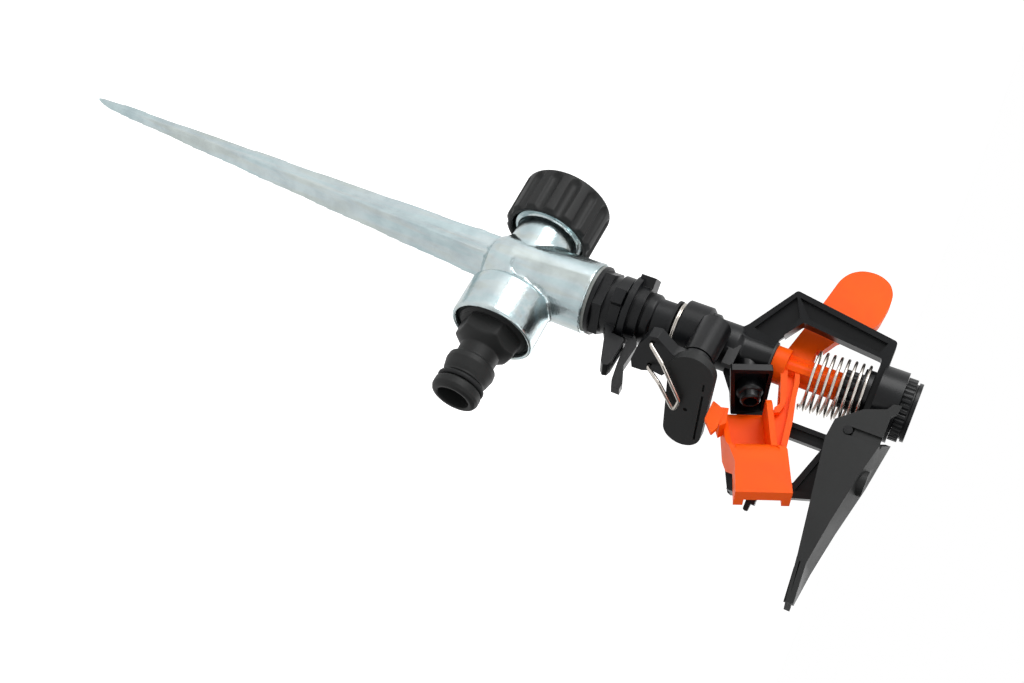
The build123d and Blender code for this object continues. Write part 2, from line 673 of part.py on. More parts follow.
def spring_seat():
    """Ratchet seat that holds the upper end of the arm's spring."""
    top = BRIDGE_TOP - BRIDGE_TOP_T - 0.02
    flange = top - SEAT_FLANGE_T
    body = disc(SEAT_R, SEAT_Z, top) + disc(SEAT_FLANGE_R, flange, top)
    for tooth in range(SEAT_TEETH):
        notch = Pos(SEAT_R + 0.3, 0, (SEAT_Z + flange) / 2) * Rot(0, 0, 35) * Box(1.5, 1.5, flange - SEAT_Z)
        body -= Rot(0, 0, 360 / SEAT_TEETH * tooth) * notch
    return body - disc(SHAFT_R + FIT, SEAT_Z - 1, top + 1)


def arm_spring():
    """Return spring round the arm's post, leaning out a little from its seat as it hangs loose."""
    spring = coil(SPRING_R, SPRING_WIRE_R, SPRING_Z0, SPRING_Z1, SPRING_TURNS)
    away = direction(SPRING_LEAN_AZIMUTH)
    hinge = Axis((0, 0, SPRING_Z1), direction(SPRING_LEAN_AZIMUTH - 90))
    return Pos(away * SPRING_OFFSET) * spring.rotate(hinge, SPRING_LEAN)


def jet_prism(frame_plane, points, near, far):
    """Solid from an outline in one of the jet frame's own planes, between two offsets."""
    face = Polygon(*points, align=None)
    body = frame_plane.location * (Pos(0, 0, near) * extrude(face, far - near, dir=(0, 0, 1)))
    return jet_frame().location * body


def jet_piece(plan, profile):
    """Moulded wall in the jet's frame: a plan (v, w) crossed with a profile (w, u)."""
    seen_along_u = Plane(origin=(0, 0, 0), x_dir=(0, 1, 0), z_dir=(1, 0, 0))
    seen_along_v = Plane(origin=(0, 0, 0), x_dir=(0, 0, 1), z_dir=(0, 1, 0))
    return jet_prism(seen_along_u, plan, -9, 9) & jet_prism(seen_along_v, profile, -14, 14)


def spoon():
    """Spoon that catches the jet: floor, leaning side wall, splitter vane and curved cover."""
    floor = SPOON_FLOOR_U
    back = floor + SPOON_T
    start = SPOON_START
    bend = COVER_START
    end = SPOON_END
    front = COVER_U
    inner = front + SPOON_T
    left = SPOON_LEFT_V
    vane = VANE_V
    side = COVER_SIDE_V
    tray = jet_piece([(left, start), (vane + 1.8, start), (vane + 1.8, bend), (side, bend + 3.5),
                      (left + 1.4, bend + 3.5), (left, bend)],
                     [(start, back), (start, floor + 0.8), (start + 2.4, floor), (bend + 3.5, floor),
                      (bend + 3.5, back)])
    left_wall = jet_piece([(left, start), (left, bend), (left + 2.1, bend + 8), (left + 1.6, end),
                           (left + 4.4, end), (left + 3.7, bend + 8), (left + 1.6, bend),
                           (left + 1.5, start)],
                          [(start, back), (start, floor - 2.4), (start + 4.2, floor - 4.6),
                           (start + 9.2, -2.2), (bend - 0.5, front + 2.0), (bend + 2.5, front),
                           (end, front), (end, FOOT_U), (bend + 8, FOOT_U), (bend + 3.5, back)])
    right_wall = jet_piece([(vane, bend), (side - 1.6, bend), (side, bend + 3.5), (side + 0.2, end),
                            (side - 2.2, end), (side - 2.2, bend + 3), (vane, bend + 1)],
                           [(bend, front + 3.4), (bend + 2.5, front), (end, front), (end, FOOT_U),
                            (bend + 6, FOOT_U), (bend + 3.5, back), (bend, back)])
    splitter = jet_piece([(vane, start + 0.8), (vane + 1.8, start + 0.8), (vane + 1.8, bend + 2),
                          (vane, bend + 2)],
                         [(start + 0.8, back), (start + 0.8, -3.6), (start + 1.8, front + 2.2),
                          (start + 3.2, front + 1.6), (bend - 2, front + 1.0), (bend + 2, front + 0.4),
                          (bend + 2, back)])
    cover = jet_piece([(left + 2.9, bend), (vane + 1.8, bend), (side - 1.6, bend + 1.2), (side, bend + 5.0),
                       (side + 0.2, end), (left + 1.6, end), (left + 2.5, bend + 8), (left + 2.6, bend + 2)],
                      [(bend, front + 3.6), (bend + 0.9, front + 1.6), (bend + 2.5, front + 0.4),
                       (bend + 4.6, front), (end, front), (end, inner), (bend + 5, inner),
                       (bend + 3.2, inner + 0.5), (bend + 2.0, inner + 1.6), (bend + 1.5, inner + 2.8)])
    lip = jet_piece([(left + 2, end - 1.6), (side, end - 1.6), (side, end), (left + 2, end)],
                    [(end - 1.6, front), (end, front), (end, END_LIP_U), (end - 1.6, END_LIP_U)])
    return tray + left_wall + right_wall + splitter + cover + lip


def swing_arm():
    """Impulse arm: hub, finned post, beam, spoon, reversing hook and counterweight."""
    plane = upright(JET_AZIMUTH)
    hub = disc(HUB_R, HUB_Z, HUB_TOP)
    post = disc(ARM_POST_R, HUB_TOP - 1, ARM_POST_TOP)
    for turn in (0, 90):
        fin = Pos(0, 0, (HUB_TOP + ARM_POST_TOP) / 2) * Box(2 * ARM_FIN_R, ARM_FIN_T, ARM_POST_TOP - HUB_TOP)
        post += Rot(0, 0, JET_AZIMUTH + 30 + turn) * fin
    web = plate(plane, [(0, 104.6), (3.7, 106.2), (15.6, 109.6), (18.8, 108.8), (31.6, 114.2), (32.6, 116.8),
                        (29.3, 117.2), (20.5, 115.8), (12.0, 114.0), (6.6, 112.8), (0, 111.6)], -1.1, 1.1)
    rim_low = plate(plane, [(2, 105.0), (3.4, 106.0), (15.0, 109.9), (16.4, 110.3), (18.2, 109.2), (20.2, 109.8),
                            (19.4, 111.2), (16.8, 111.7), (14.6, 111.6), (3.4, 108.4), (2, 107.6)], -1.1, 3.2)
    rim_high = plate(plane, [(1.5, 110.2), (6.6, 111.6), (14.7, 112.9), (20.5, 114.0), (27.1, 115.0),
                             (30.6, 115.6), (30.4, 117.4), (26.5, 116.8), (20.5, 115.9), (12.0, 114.0),
                             (6.6, 113.2), (1.5, 111.8)], -1.1, 3.2)
    weight = [(0, 104.6), (-6.5, 105.3), (-18.3, 107.6), (-32.2, 109.9), (-42.0, 111.4), (-47.0, 114.4),
              (-49.2, 119.4), (-48.2, 125.0), (-44.4, 128.4), (-39.0, 129.4), (-27.3, 128.4),
              (-20.3, 121.5), (-16.5, 118.4), (-10.6, 115.6), (-4.6, 113.6), (0, 112.0)]
    paddle = plate(plane, weight, -1.5, 1.5)
    paddle -= disc(SPRING_R + SPRING_WIRE_R + GAP, SPRING_Z0 - 1.2, SPRING_Z1 + 2)
    hook = plate(plane, [(26.2, 92.1), (33.4, 92.1), (37.6, 95.8), (35.2, 96.6), (31.2, 96.6), (28.2, 96.2),
                         (27.2, 94.6)], 4.8, 6.4, 0.3)
    hook += plate(plane, [(27.0, 94.6), (29.6, 94.2), (33.6, 97.0), (31.6, 98.4), (26.2, 97.2)], -1.0, 5.6)
    arm = hub + post + web + rim_low + rim_high + paddle + spoon() + hook
    arm += bar(plane, -8.0, -3.0, 110.8, 114.2, -1.2, 1.2)
    return arm - disc(SHAFT_R + RUN, HUB_Z - 1, ARM_POST_TOP + 1)


# Flap and knob


def deflector_flap():
    """Folded deflector flap: near cheek with its detent finger, twisted top, far lip and hollow tip."""
    plane = upright(FLAP_AZIMUTH)
    near = FLAP_NEAR
    far = FLAP_FAR
    tip = FLAP_TIP_X
    tip_z = FLAP_TIP_Z
    t = FLAP_T
    mouth = tip - 12.4
    cheek = [(15.8, 127.4), (9.8, 134.1), (7.2, 140.4), (5.0, 141.6), (4.6, 144.0), (7.6, 143.6), (9.0, 142.2),
             (19.2, 142.0), (23.0, 141.0), (38.8, 137.8), (mouth, tip_z), (mouth, tip_z - 2.8), (22.5, 126.7)]
    shape = plate(plane, cheek, near - t, near)
    near_edge = [(19.2, 142.0), (30.0, 139.6), (46.0, 136.8), (mouth, tip_z + 0.1), (tip, tip_z + 0.9)]
    far_edge = [(14.0, 145.0), (30.0, 142.6), (46.4, 139.2), (mouth, 136.8), (tip - 2, tip_z + 0.9)]
    edges = []
    for offset, line in ((near, near_edge), (far, far_edge)):
        below = [(x, z - t) for x, z in reversed(line)]
        edges.append(plane.location * (Pos(0, 0, offset) * Polygon(*line, *below, align=None)))
    shape += loft(edges, ruled=True)
    shape += plate(plane, [(30, 141.4), (46.4, 138.0), (tip - 2, tip_z), (tip - 2, tip_z - 2.2), (mouth, tip_z - 3),
                           (30, 138.4)], far, far + t)
    shape += plate(plane, [(mouth - 1, tip_z - 3.0), (tip, tip_z - 1.4), (tip, tip_z - 0.6), (mouth - 1, tip_z - 2)],
                   far, near)
    shape += plate(plane, [(mouth - 1, tip_z - 2.6), (tip, tip_z - 1), (tip, tip_z + 0.4), (mouth - 1, tip_z - 0.2)],
                   (near + far) / 2 - 1, (near + far) / 2 + 0.4)
    shape += bar(plane, tip - 1.2, tip, tip_z - 1.2, tip_z + 0.4, far, near)
    button = Pos(30, 140.9, 0) * Rot(90, 0, 0) * Cylinder(4.0, 2.4)
    shape += plane.location * (Pos(0, 0, (near + far) / 2 - 0.6) * button)
    slot_r = FLAP_PIN_R + FIT
    slot = plane.location * (Pos(FLAP_PIN_X, FLAP_PIN_Z, 0) * disc(slot_r, near - t - 1, near + 1))
    channel = bar(plane, FLAP_PIN_X - slot_r, FLAP_PIN_X + slot_r, FLAP_PIN_Z, 143.0, near - t - 1, near + 1)
    return shape - slot - channel


def flap_pin():
    """Hinge pin of the flap, pressed into the bridge's lug."""
    return upright(FLAP_AZIMUTH).location * (Pos(FLAP_PIN_X, FLAP_PIN_Z, 0)
                                             * disc(FLAP_PIN_R, 3.4, FLAP_NEAR + 0.3))


def adjusting_knob():
    """Serrated knob with an end disc, its stem in the top boss."""
    z0 = BRIDGE_TOP + TOP_BOSS_T + RUN
    z1 = z0 + KNOB_T
    z2 = z1 + KNOB_GAP
    wheel = disc(KNOB_R, z0, z1)
    for tooth in range(KNOB_TEETH):
        cut = Pos(KNOB_R + 0.2, 0, (z0 + z1) / 2) * Rot(0, 0, 45) * Box(0.9, 0.9, z1 - z0 + 1)
        wheel -= Rot(0, 0, 360 / KNOB_TEETH * tooth) * cut
    wheel += disc(KNOB_DISC_R - 0.7, z1, z2) + disc(KNOB_DISC_R, z2, z2 + KNOB_DISC_T)
    wheel += disc(KNOB_STEM_R, z0 - KNOB_STEM, z0)
    return wheel


# Reversing gear


def reversing_pawl():
    """Reversing pawl: stem in the head's boss and a long plate, rounder at its pivot end."""
    plane = pawl_plane(0)
    frame = plane.location
    stem = frame * (Pos(-PAWL_SIDE, PAWL_Z, 0)
                    * disc(PAWL_STEM_R, PAWL_BOSS_START + 3.4, PAWL_PLATE_S + 0.5))
    head = Pos(-PAWL_SIDE - 1.2, PAWL_Z + 1.0) * Circle(PAWL_R)
    tail = Pos(-PAWL_SIDE - 1.2 + PAWL_REACH, PAWL_Z + 1.4) * Circle(PAWL_TAIL_R)
    face = make_hull(head.edges() + tail.edges())
    board = frame * (Pos(0, 0, PAWL_PLATE_S) * extrude(face, PAWL_PLATE_T, dir=(0, 0, 1)))
    front = PAWL_PLATE_S + PAWL_PLATE_T
    board -= bar(plane, -4.5, 15.5, PAWL_Z + 5.4, PAWL_Z + 6.1, front - 1.2, front + 1)
    board -= bar(plane, -9.5, -6.5, PAWL_Z + 5.2, PAWL_Z + 5.8, front - 0.8, front + 1)
    board -= frame * (Pos(3.8, PAWL_Z + 1.2, 0) * disc(0.7, front - 1.2, front + 1))
    return stem + board


def trip_lever():
    """Trip lever on the pawl's stem, with the clip block that the collar tabs strike."""
    plane = pawl_plane(0)
    frame = plane.location
    s0 = PAWL_BOSS_END + GAP
    s1 = PAWL_PLATE_S - GAP
    hub = frame * (Pos(-PAWL_SIDE, PAWL_Z, 0) * disc(LEVER_HUB_R, s0, s1))
    block = plate(plane, [(-17.6, 68.4), (-18.2, 71.2), (-13.6, 76.6), (-13.2, 81.0), (-6.8, 81.0), (-5.0, 75.6),
                          (-3.2, 74.4), (-3.8, 70.9), (-2.4, 67.8), (-2.2, CLIP_Z + 0.6), (-5.4, CLIP_Z),
                          (-12.4, 65.4)], s0, s1)
    bore = frame * (Pos(-PAWL_SIDE, PAWL_Z, 0) * disc(PAWL_STEM_R + RUN, s0 - 1, s1 + 1))
    for x, y in TRIP_WIRE_ENDS:
        bore += frame * (Pos(x, y, 0) * disc(TRIP_WIRE_R + 0.03, s1 - 2.2, s1 + 1))
    return hub + block - bore


def trip_wire():
    """Stainless wire loop held in the trip lever's clip, its bend in front of the pawl."""
    frame = pawl_plane(0)
    held = PAWL_PLATE_S - GAP
    front = PAWL_PLATE_S + PAWL_PLATE_T + TRIP_WIRE_R + 0.6
    (x0, y0), (x1, y1) = TRIP_WIRE_ENDS
    points = [(x0, y0, held - 2), (x0, y0, held + 1.2), (-12.8, 75.4, front), (-0.4, 82.3, front),
              (4.9, 81.2, front), (-4.6, 75.2, front), (x1, y1, held + 1.2), (x1, y1, held - 2)]
    world = [frame.from_local_coords(Vector(*p)) for p in points]
    path = FilletPolyline(*world, radius=1.0)
    section = Plane(origin=path @ 0, z_dir=path % 0).location * Circle(TRIP_WIRE_R)
    return sweep(section, path=path, transition=Transition.ROUND)


def model():
    """Every sub-part by its node name."""
    return {
        "spike_base": spike_base(),
        "inlet_nipple": inlet_nipple(),
        "nipple_gasket": nipple_gasket(),
        "nipple_o_ring": nipple_o_ring(),
        "end_cap": end_cap(),
        "end_cap_washer": end_cap_washer(),
        "riser_washer": riser_washer(),
        "bearing_nut": bearing_nut(),
        "lower_trip_collar": lower_trip_collar(),
        "upper_trip_collar": upper_trip_collar(),
        "bearing_sleeve": bearing_sleeve(),
        "sand_seal": sand_seal(),
        "bearing_spring": bearing_spring(),
        "spindle_tube": spindle_tube(),
        "bearing_washers": Compound(children=[s for s in bearing_washers()]),
        "head_body": head_body(),
        "nozzle": nozzle(),
        "arm_shaft": arm_shaft(),
        "arm_washer": arm_washer(),
        "spring_seat": spring_seat(),
        "arm_spring": arm_spring(),
        "swing_arm": swing_arm(),
        "deflector_flap": deflector_flap(),
        "flap_pin": flap_pin(),
        "adjusting_knob": adjusting_knob(),
        "reversing_pawl": reversing_pawl(),
        "trip_lever": trip_lever(),
        "trip_wire": trip_wire(),
    }


os.makedirs("parts", exist_ok=True)
for node, shape in model().items():
    export_step(shape, "parts/" + node + ".step")
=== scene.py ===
"""Looks of an impulse sprinkler on a ground spike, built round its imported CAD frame.

Lengths in the classes are millimetres and become metres where a mesh is written. Angles are degrees.
The part stands upright: +Z up the main axis from the soil line, +X along the hose inlet.
"""

import json
import logging
import math
from collections.abc import Callable
from dataclasses import dataclass, field
from enum import Enum

import bmesh
import bpy
import numpy as np
from mathutils import Matrix, Vector

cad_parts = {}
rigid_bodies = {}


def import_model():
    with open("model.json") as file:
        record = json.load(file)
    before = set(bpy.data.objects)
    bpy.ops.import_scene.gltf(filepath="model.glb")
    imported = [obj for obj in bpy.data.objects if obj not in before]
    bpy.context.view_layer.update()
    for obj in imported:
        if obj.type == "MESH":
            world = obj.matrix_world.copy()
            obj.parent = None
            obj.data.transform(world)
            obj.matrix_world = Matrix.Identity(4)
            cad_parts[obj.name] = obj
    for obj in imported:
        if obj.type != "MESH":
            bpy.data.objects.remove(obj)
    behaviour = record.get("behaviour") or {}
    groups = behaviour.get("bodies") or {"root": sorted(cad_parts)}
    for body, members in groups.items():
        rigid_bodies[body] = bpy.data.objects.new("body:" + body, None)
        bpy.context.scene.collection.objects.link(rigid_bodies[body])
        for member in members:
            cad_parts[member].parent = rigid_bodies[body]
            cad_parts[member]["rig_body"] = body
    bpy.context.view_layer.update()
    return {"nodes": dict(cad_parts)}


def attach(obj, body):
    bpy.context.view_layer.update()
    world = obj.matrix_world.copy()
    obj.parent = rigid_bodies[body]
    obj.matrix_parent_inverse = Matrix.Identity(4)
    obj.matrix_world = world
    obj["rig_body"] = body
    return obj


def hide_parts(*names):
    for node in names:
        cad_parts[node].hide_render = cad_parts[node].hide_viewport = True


log = logging.getLogger("sprinkler")

Pair = tuple[float, float]
Triple = tuple[float, float, float]

MM = 0.001
PHOTO_WIDTH = 1024


class Axis(Enum):
    """Direction in which a turned piece lies."""

    INLET = "inlet"
    CAP = "cap"


class Edges(Enum):
    """How the edges of a piece taken from the frame are softened."""

    MOULDED = "moulded"
    CAST = "cast"


# Colour and nodes


def linear(hex_colour: str) -> tuple[float, float, float, float]:
    """Turns an sRGB hex colour into linear light.

    Args:
        hex_colour: Six hex digits after a hash.

    Returns:
        Red, green, blue and an alpha of 1.
    """
    parts = [int(hex_colour[i : i + 2], 16) / 255 for i in (1, 3, 5)]
    light = [c / 12.92 if c <= 0.04045 else ((c + 0.055) / 1.055) ** 2.4 for c in parts]
    return (light[0], light[1], light[2], 1.0)


def add(tree: bpy.types.NodeTree, kind: str, inputs: dict, stops: tuple[tuple[float, str], ...] = (),
        **settings: object) -> bpy.types.Node:
    """Adds one node to a tree with its settings, values and links.

    Args:
        tree: The node tree.
        kind: The node's type name.
        inputs: For each input's name or number, a value, or the output socket to link to it.
        stops: Pairs of position and hex colour, where the node has a colour ramp.
        settings: Values of the node's own properties.

    Returns:
        The new node.
    """
    made = tree.nodes.new(kind)
    for name, value in settings.items():
        setattr(made, name, value)
    for key, value in inputs.items():
        socket = made.inputs[key]
        if isinstance(value, bpy.types.NodeSocket):
            tree.links.new(value, socket)
        else:
            socket.default_value = value
    if stops:
        elements = made.color_ramp.elements
        while len(elements) < len(stops):
            elements.new(0.5)
        for element, (position, colour) in zip(elements, stops):
            element.position = position
            element.color = linear(colour)
    return made


@dataclass(frozen=True)
class Finish:
    """A surface finish. Pattern sizes and bump depths are in millimetres."""

    name: str
    pattern_span: Pair = (0.3, 0.7)

    def start(self) -> tuple[bpy.types.Material, bpy.types.NodeTree, bpy.types.Node, bpy.types.NodeSocket]:
        """Makes an empty material.

        Returns:
            The material, its tree, its shader and the object coordinates.
        """
        material = bpy.data.materials.new(self.name)
        material.use_nodes = True
        tree = material.node_tree
        shader = tree.nodes["Principled BSDF"]
        coords = add(tree, "ShaderNodeTexCoord", {}).outputs["Object"]
        return material, tree, shader, coords


@dataclass(frozen=True)
class ZincPlating(Finish):
    """Bright zinc plating, passivated bluish, over a pressure casting: silvery with soft clouding."""

    pale: str = "#C8D4D6"
    cloud: str = "#B0BCC0"
    tint: str = "#AFCDD0"
    straw: str = "#C2C6B8"
    cloud_size: float = 9.0
    cloud_stops: Pair = (0.36, 0.62)
    streak_size: float = 3.2
    streak_squeeze: float = 0.09
    film_stops: Triple = (0.40, 0.5, 0.62)
    film_share: float = 0.3
    dull: float = 0.27
    bright: float = 0.17
    peel_size: float = 1.5
    peel_depth: float = 0.12
    peel_strength: float = 0.5
    grain_size: float = 0.45
    grain_depth: float = 0.05
    grain_strength: float = 0.22

    def make(self) -> bpy.types.Material:
        """Builds the plated material: clouds of two greys, streaks of film along Z, two depths of grain.

        Returns:
            The material.
        """
        material, tree, shader, coords = self.start()
        clouds = add(tree, "ShaderNodeTexNoise", {"Vector": coords, "Scale": 1 / (self.cloud_size * MM),
                                                  "Detail": 5.0, "Roughness": 0.62})
        drawn = add(tree, "ShaderNodeMapping", {"Vector": coords, "Scale": (1.0, 1.0, self.streak_squeeze)})
        streaks = add(tree, "ShaderNodeTexNoise", {"Vector": drawn.outputs[0], "Detail": 4.0,
                                                   "Scale": 1 / (self.streak_size * MM)})
        metal = add(tree, "ShaderNodeValToRGB", {"Fac": clouds.outputs["Fac"]},
                    tuple(zip(self.cloud_stops, (self.cloud, self.pale))))
        film = add(tree, "ShaderNodeValToRGB", {"Fac": streaks.outputs["Fac"]},
                   tuple(zip(self.film_stops, (self.tint, self.pale, self.straw))))
        # Inputs 0, 6 and 7 and output 2 are this node's factor and colours
        blend = add(tree, "ShaderNodeMix", {0: self.film_share, 6: metal.outputs["Color"],
                                            7: film.outputs["Color"]}, data_type="RGBA")
        tree.links.new(blend.outputs[2], shader.inputs["Base Color"])
        peel = add(tree, "ShaderNodeTexNoise", {"Vector": coords, "Scale": 1 / (self.peel_size * MM),
                                                "Detail": 3.0, "Roughness": 0.7})
        grain = add(tree, "ShaderNodeTexNoise", {"Vector": coords, "Scale": 1 / (self.grain_size * MM),
                                                 "Detail": 2.0})
        low, high = self.pattern_span
        rough = add(tree, "ShaderNodeMapRange", {"Value": clouds.outputs["Fac"], "From Min": low,
                                                 "From Max": high, "To Min": self.dull,
                                                 "To Max": self.bright})
        tree.links.new(rough.outputs[0], shader.inputs["Roughness"])
        soft = add(tree, "ShaderNodeBump", {"Height": peel.outputs["Fac"], "Strength": self.peel_strength,
                                            "Distance": self.peel_depth * MM})
        fine = add(tree, "ShaderNodeBump", {"Height": grain.outputs["Fac"], "Strength": self.grain_strength,
                                            "Distance": self.grain_depth * MM, "Normal": soft.outputs[0]})
        tree.links.new(fine.outputs[0], shader.inputs["Normal"])
        shader.inputs["Metallic"].default_value = 1.0
        return material


@dataclass(frozen=True)
class MouldedPlastic(Finish):
    """Injection-moulded plastic: even colour, fine spark texture from the mould, faint flow clouding.

    A real spark texture is about 0.05 mm across and wouldn't show, so it is drawn coarser.
    """

    colour: str = "#161717"
    worn: str = "#1E1F1F"
    colour_stops: Pair = (0.35, 0.70)
    roughness: float = 0.48
    spread: float = 0.08
    specular: float = 0.30
    texture_size: float = 0.30
    texture_depth: float = 0.02
    texture_strength: float = 0.5
    flow_size: float = 14.0
    flow_twist: float = 0.6
    glow: float = 0.0
    glow_depth: float = 1.2
    glow_reach: Triple = (1.0, 0.30, 0.10)

    def make(self) -> bpy.types.Material:
        """Builds the plastic material: a slow flow pattern tints it and varies its gloss.

        Returns:
            The material.
        """
        material, tree, shader, coords = self.start()
        flow = add(tree, "ShaderNodeTexNoise", {"Vector": coords, "Scale": 1 / (self.flow_size * MM),
                                                "Detail": 4.0, "Distortion": self.flow_twist})
        tone = add(tree, "ShaderNodeValToRGB", {"Fac": flow.outputs["Fac"]},
                   tuple(zip(self.colour_stops, (self.colour, self.worn))))
        tree.links.new(tone.outputs["Color"], shader.inputs["Base Color"])
        low, high = self.pattern_span
        rough = add(tree, "ShaderNodeMapRange", {"Value": flow.outputs["Fac"], "From Min": low,
                                                 "From Max": high, "To Min": self.roughness,
                                                 "To Max": self.roughness + self.spread})
        tree.links.new(rough.outputs[0], shader.inputs["Roughness"])
        spark = add(tree, "ShaderNodeTexNoise", {"Vector": coords, "Scale": 1 / (self.texture_size * MM),
                                                 "Detail": 2.0})
        bump = add(tree, "ShaderNodeBump", {"Height": spark.outputs["Fac"], "Strength": self.texture_strength,
                                            "Distance": self.texture_depth * MM})
        tree.links.new(bump.outputs[0], shader.inputs["Normal"])
        shader.inputs["Specular IOR Level"].default_value = self.specular
        if self.glow:
            shader.inputs["Subsurface Weight"].default_value = self.glow
            shader.inputs["Subsurface Radius"].default_value = self.glow_reach
            shader.inputs["Subsurface Scale"].default_value = self.glow_depth * MM
        return material


@dataclass(frozen=True)
class DrawnSteel(Finish):
    """Drawn stainless spring wire: warm silver, a little uneven along its length from the die."""

    colour: str = "#D2CCC5"
    shade: str = "#BCB6AE"
    colour_stops: Pair = (0.35, 0.60)
    line_size: float = 3.0
    dull: float = 0.30
    bright: float = 0.20

    def make(self) -> bpy.types.Material:
        """Builds the wire material.

        Returns:
            The material.
        """
        material, tree, shader, coords = self.start()
        lines = add(tree, "ShaderNodeTexNoise", {"Vector": coords, "Scale": 1 / (self.line_size * MM),
                                                 "Detail": 3.0, "Roughness": 0.6})
        tone = add(tree, "ShaderNodeValToRGB", {"Fac": lines.outputs["Fac"]},
                   tuple(zip(self.colour_stops, (self.shade, self.colour))))
        tree.links.new(tone.outputs["Color"], shader.inputs["Base Color"])
        low, high = self.pattern_span
        rough = add(tree, "ShaderNodeMapRange", {"Value": lines.outputs["Fac"], "From Min": low,
                                                 "From Max": high, "To Min": self.dull,
                                                 "To Max": self.bright})
        tree.links.new(rough.outputs[0], shader.inputs["Roughness"])
        shader.inputs["Metallic"].default_value = 1.0
        return material


@dataclass
class Finishes:
    """All finishes of the sprinkler, each made once."""

    # Silvery blue casting that mirrors the room softly
    zinc: bpy.types.Material = field(default_factory=lambda: ZincPlating("zinc_plated_casting").make())
    # Charcoal with a broad dull sheen: nipple, end cap, pawl and flap
    matt: bpy.types.Material = field(default_factory=lambda: MouldedPlastic("black_nylon_matt").make())
    # Deeper black with a tighter sheen: bearing rings and head
    satin: bpy.types.Material = field(default_factory=lambda: MouldedPlastic(
        "black_acetal_satin", colour="#08090B", worn="#0D0F12", roughness=0.28, spread=0.10,
        texture_depth=0.008).make())
    # Vivid orange that lets a little light in
    orange: bpy.types.Material = field(default_factory=lambda: MouldedPlastic(
        "orange_acetal_moulded", colour="#FF5800", worn="#FF6002", roughness=0.42, spread=0.06,
        specular=0.16, texture_depth=0.008, glow=0.12).make())
    # Bright wire of the springs and the trip loop
    steel: bpy.types.Material = field(default_factory=lambda: DrawnSteel("stainless_drawn_wire").make())
    # Black seals, duller than the mouldings
    rubber: bpy.types.Material = field(default_factory=lambda: MouldedPlastic(
        "nitrile_rubber_moulded", colour="#121314", worn="#1A1B1C", roughness=0.55).make())
    # Pale grey flecked washer with no shine
    fibre: bpy.types.Material = field(default_factory=lambda: MouldedPlastic(
        "fibre_washer_pressed", colour="#9A9C99", worn="#858783", roughness=0.75, texture_size=0.5,
        texture_depth=0.06, flow_size=3.0).make())
    # Dark grey plain washers
    washer: bpy.types.Material = field(default_factory=lambda: MouldedPlastic(
        "acetal_washer_moulded", colour="#3A3B3B", worn="#454646", roughness=0.40).make())


# Meshes


def mesh_object(name: str, points: np.ndarray, faces: np.ndarray, material: bpy.types.Material,
                sharp: float = 38.0, weld: float = 0.0001) -> bpy.types.Object:
    """Makes an object of a mesh in millimetres, its seams and poles closed.

    Args:
        name: The piece's name.
        points: Vertices, one row each, in millimetres.
        faces: Quads, one row of four vertex numbers each.
        material: Its finish.
        sharp: Angle in degrees past which an edge shows sharp.
        weld: Distance in millimetres within which points are one.

    Returns:
        The new object, with its place in its mesh.
    """
    mesh = bpy.data.meshes.new(name)
    mesh.from_pydata((points * MM).tolist(), [], faces.tolist())
    work = bmesh.new()
    work.from_mesh(mesh)
    bmesh.ops.remove_doubles(work, verts=work.verts, dist=weld * MM)
    bmesh.ops.dissolve_degenerate(work, edges=work.edges, dist=weld * MM)
    bmesh.ops.recalc_face_normals(work, faces=work.faces)
    work.to_mesh(mesh)
    work.free()
    mesh.materials.append(material)
    mesh.shade_smooth()
    mesh.set_sharp_from_angle(angle=math.radians(sharp))
    made = bpy.data.objects.new(name, mesh)
    bpy.context.scene.collection.objects.link(made)
    return made


def grid_faces(rows: int, columns: int, wrap_rows: bool, wrap_columns: bool) -> np.ndarray:
    """Quads of a grid of points counted row by row.

    Args:
        rows: Number of rows.
        columns: Number of points in a row.
        wrap_rows: Whether the last row joins the first.
        wrap_columns: Whether each row is a ring.

    Returns:
        One row of four vertex numbers for each quad.
    """
    i, j = np.meshgrid(np.arange(rows if wrap_rows else rows - 1),
                       np.arange(columns if wrap_columns else columns - 1), indexing="ij")
    k, m = (i + 1) % rows, (j + 1) % columns
    corners = [i * columns + j, i * columns + m, k * columns + m, k * columns + j]
    return np.stack([c.ravel() for c in corners], axis=1)


def rounded(points: list, radius: float, steps: int = 4, closed: bool = False) -> np.ndarray:
    """Rounds the corners of a broken line by arcs, each no larger than its two runs allow.

    An arc touches both runs at radius * tan(turn / 2) from the corner. Its points are a quadratic
    curve through the two touching points, within a hundredth of so small an arc.

    Args:
        points: Corners of the line, in two or three dimensions.
        radius: Radius of the arcs.
        steps: Points on each arc, less one.
        closed: Whether the line is a ring.

    Returns:
        The rounded line's points.
    """
    p = np.asarray(points, float)
    before = np.roll(p, 1, axis=0) - p
    after = np.roll(p, -1, axis=0) - p
    a = np.linalg.norm(before, axis=1, keepdims=True)
    b = np.linalg.norm(after, axis=1, keepdims=True)
    turn = np.pi - np.arccos(np.clip(np.sum(before * after, axis=1, keepdims=True) / (a * b), -1, 1))
    most_of_a_run = 0.45
    reach = np.minimum(radius * np.tan(turn / 2), most_of_a_run * np.minimum(a, b))
    t = np.linspace(0, 1, steps + 1)[None, :, None]
    start = (p + before / a * reach)[:, None]
    end = (p + after / b * reach)[:, None]
    middle = p[:, None]
    arcs = (1 - t) ** 2 * start + 2 * t * (1 - t) * middle + t**2 * end
    if not closed:
        arcs[0] = p[0]
        arcs[-1] = p[-1]
    line = arcs.reshape(-1, p.shape[1])
    same_place = 1e-6
    apart = np.ones(len(line), bool)
    apart[1:] = np.linalg.norm(np.diff(line, axis=0), axis=1) > same_place
    return line[apart]


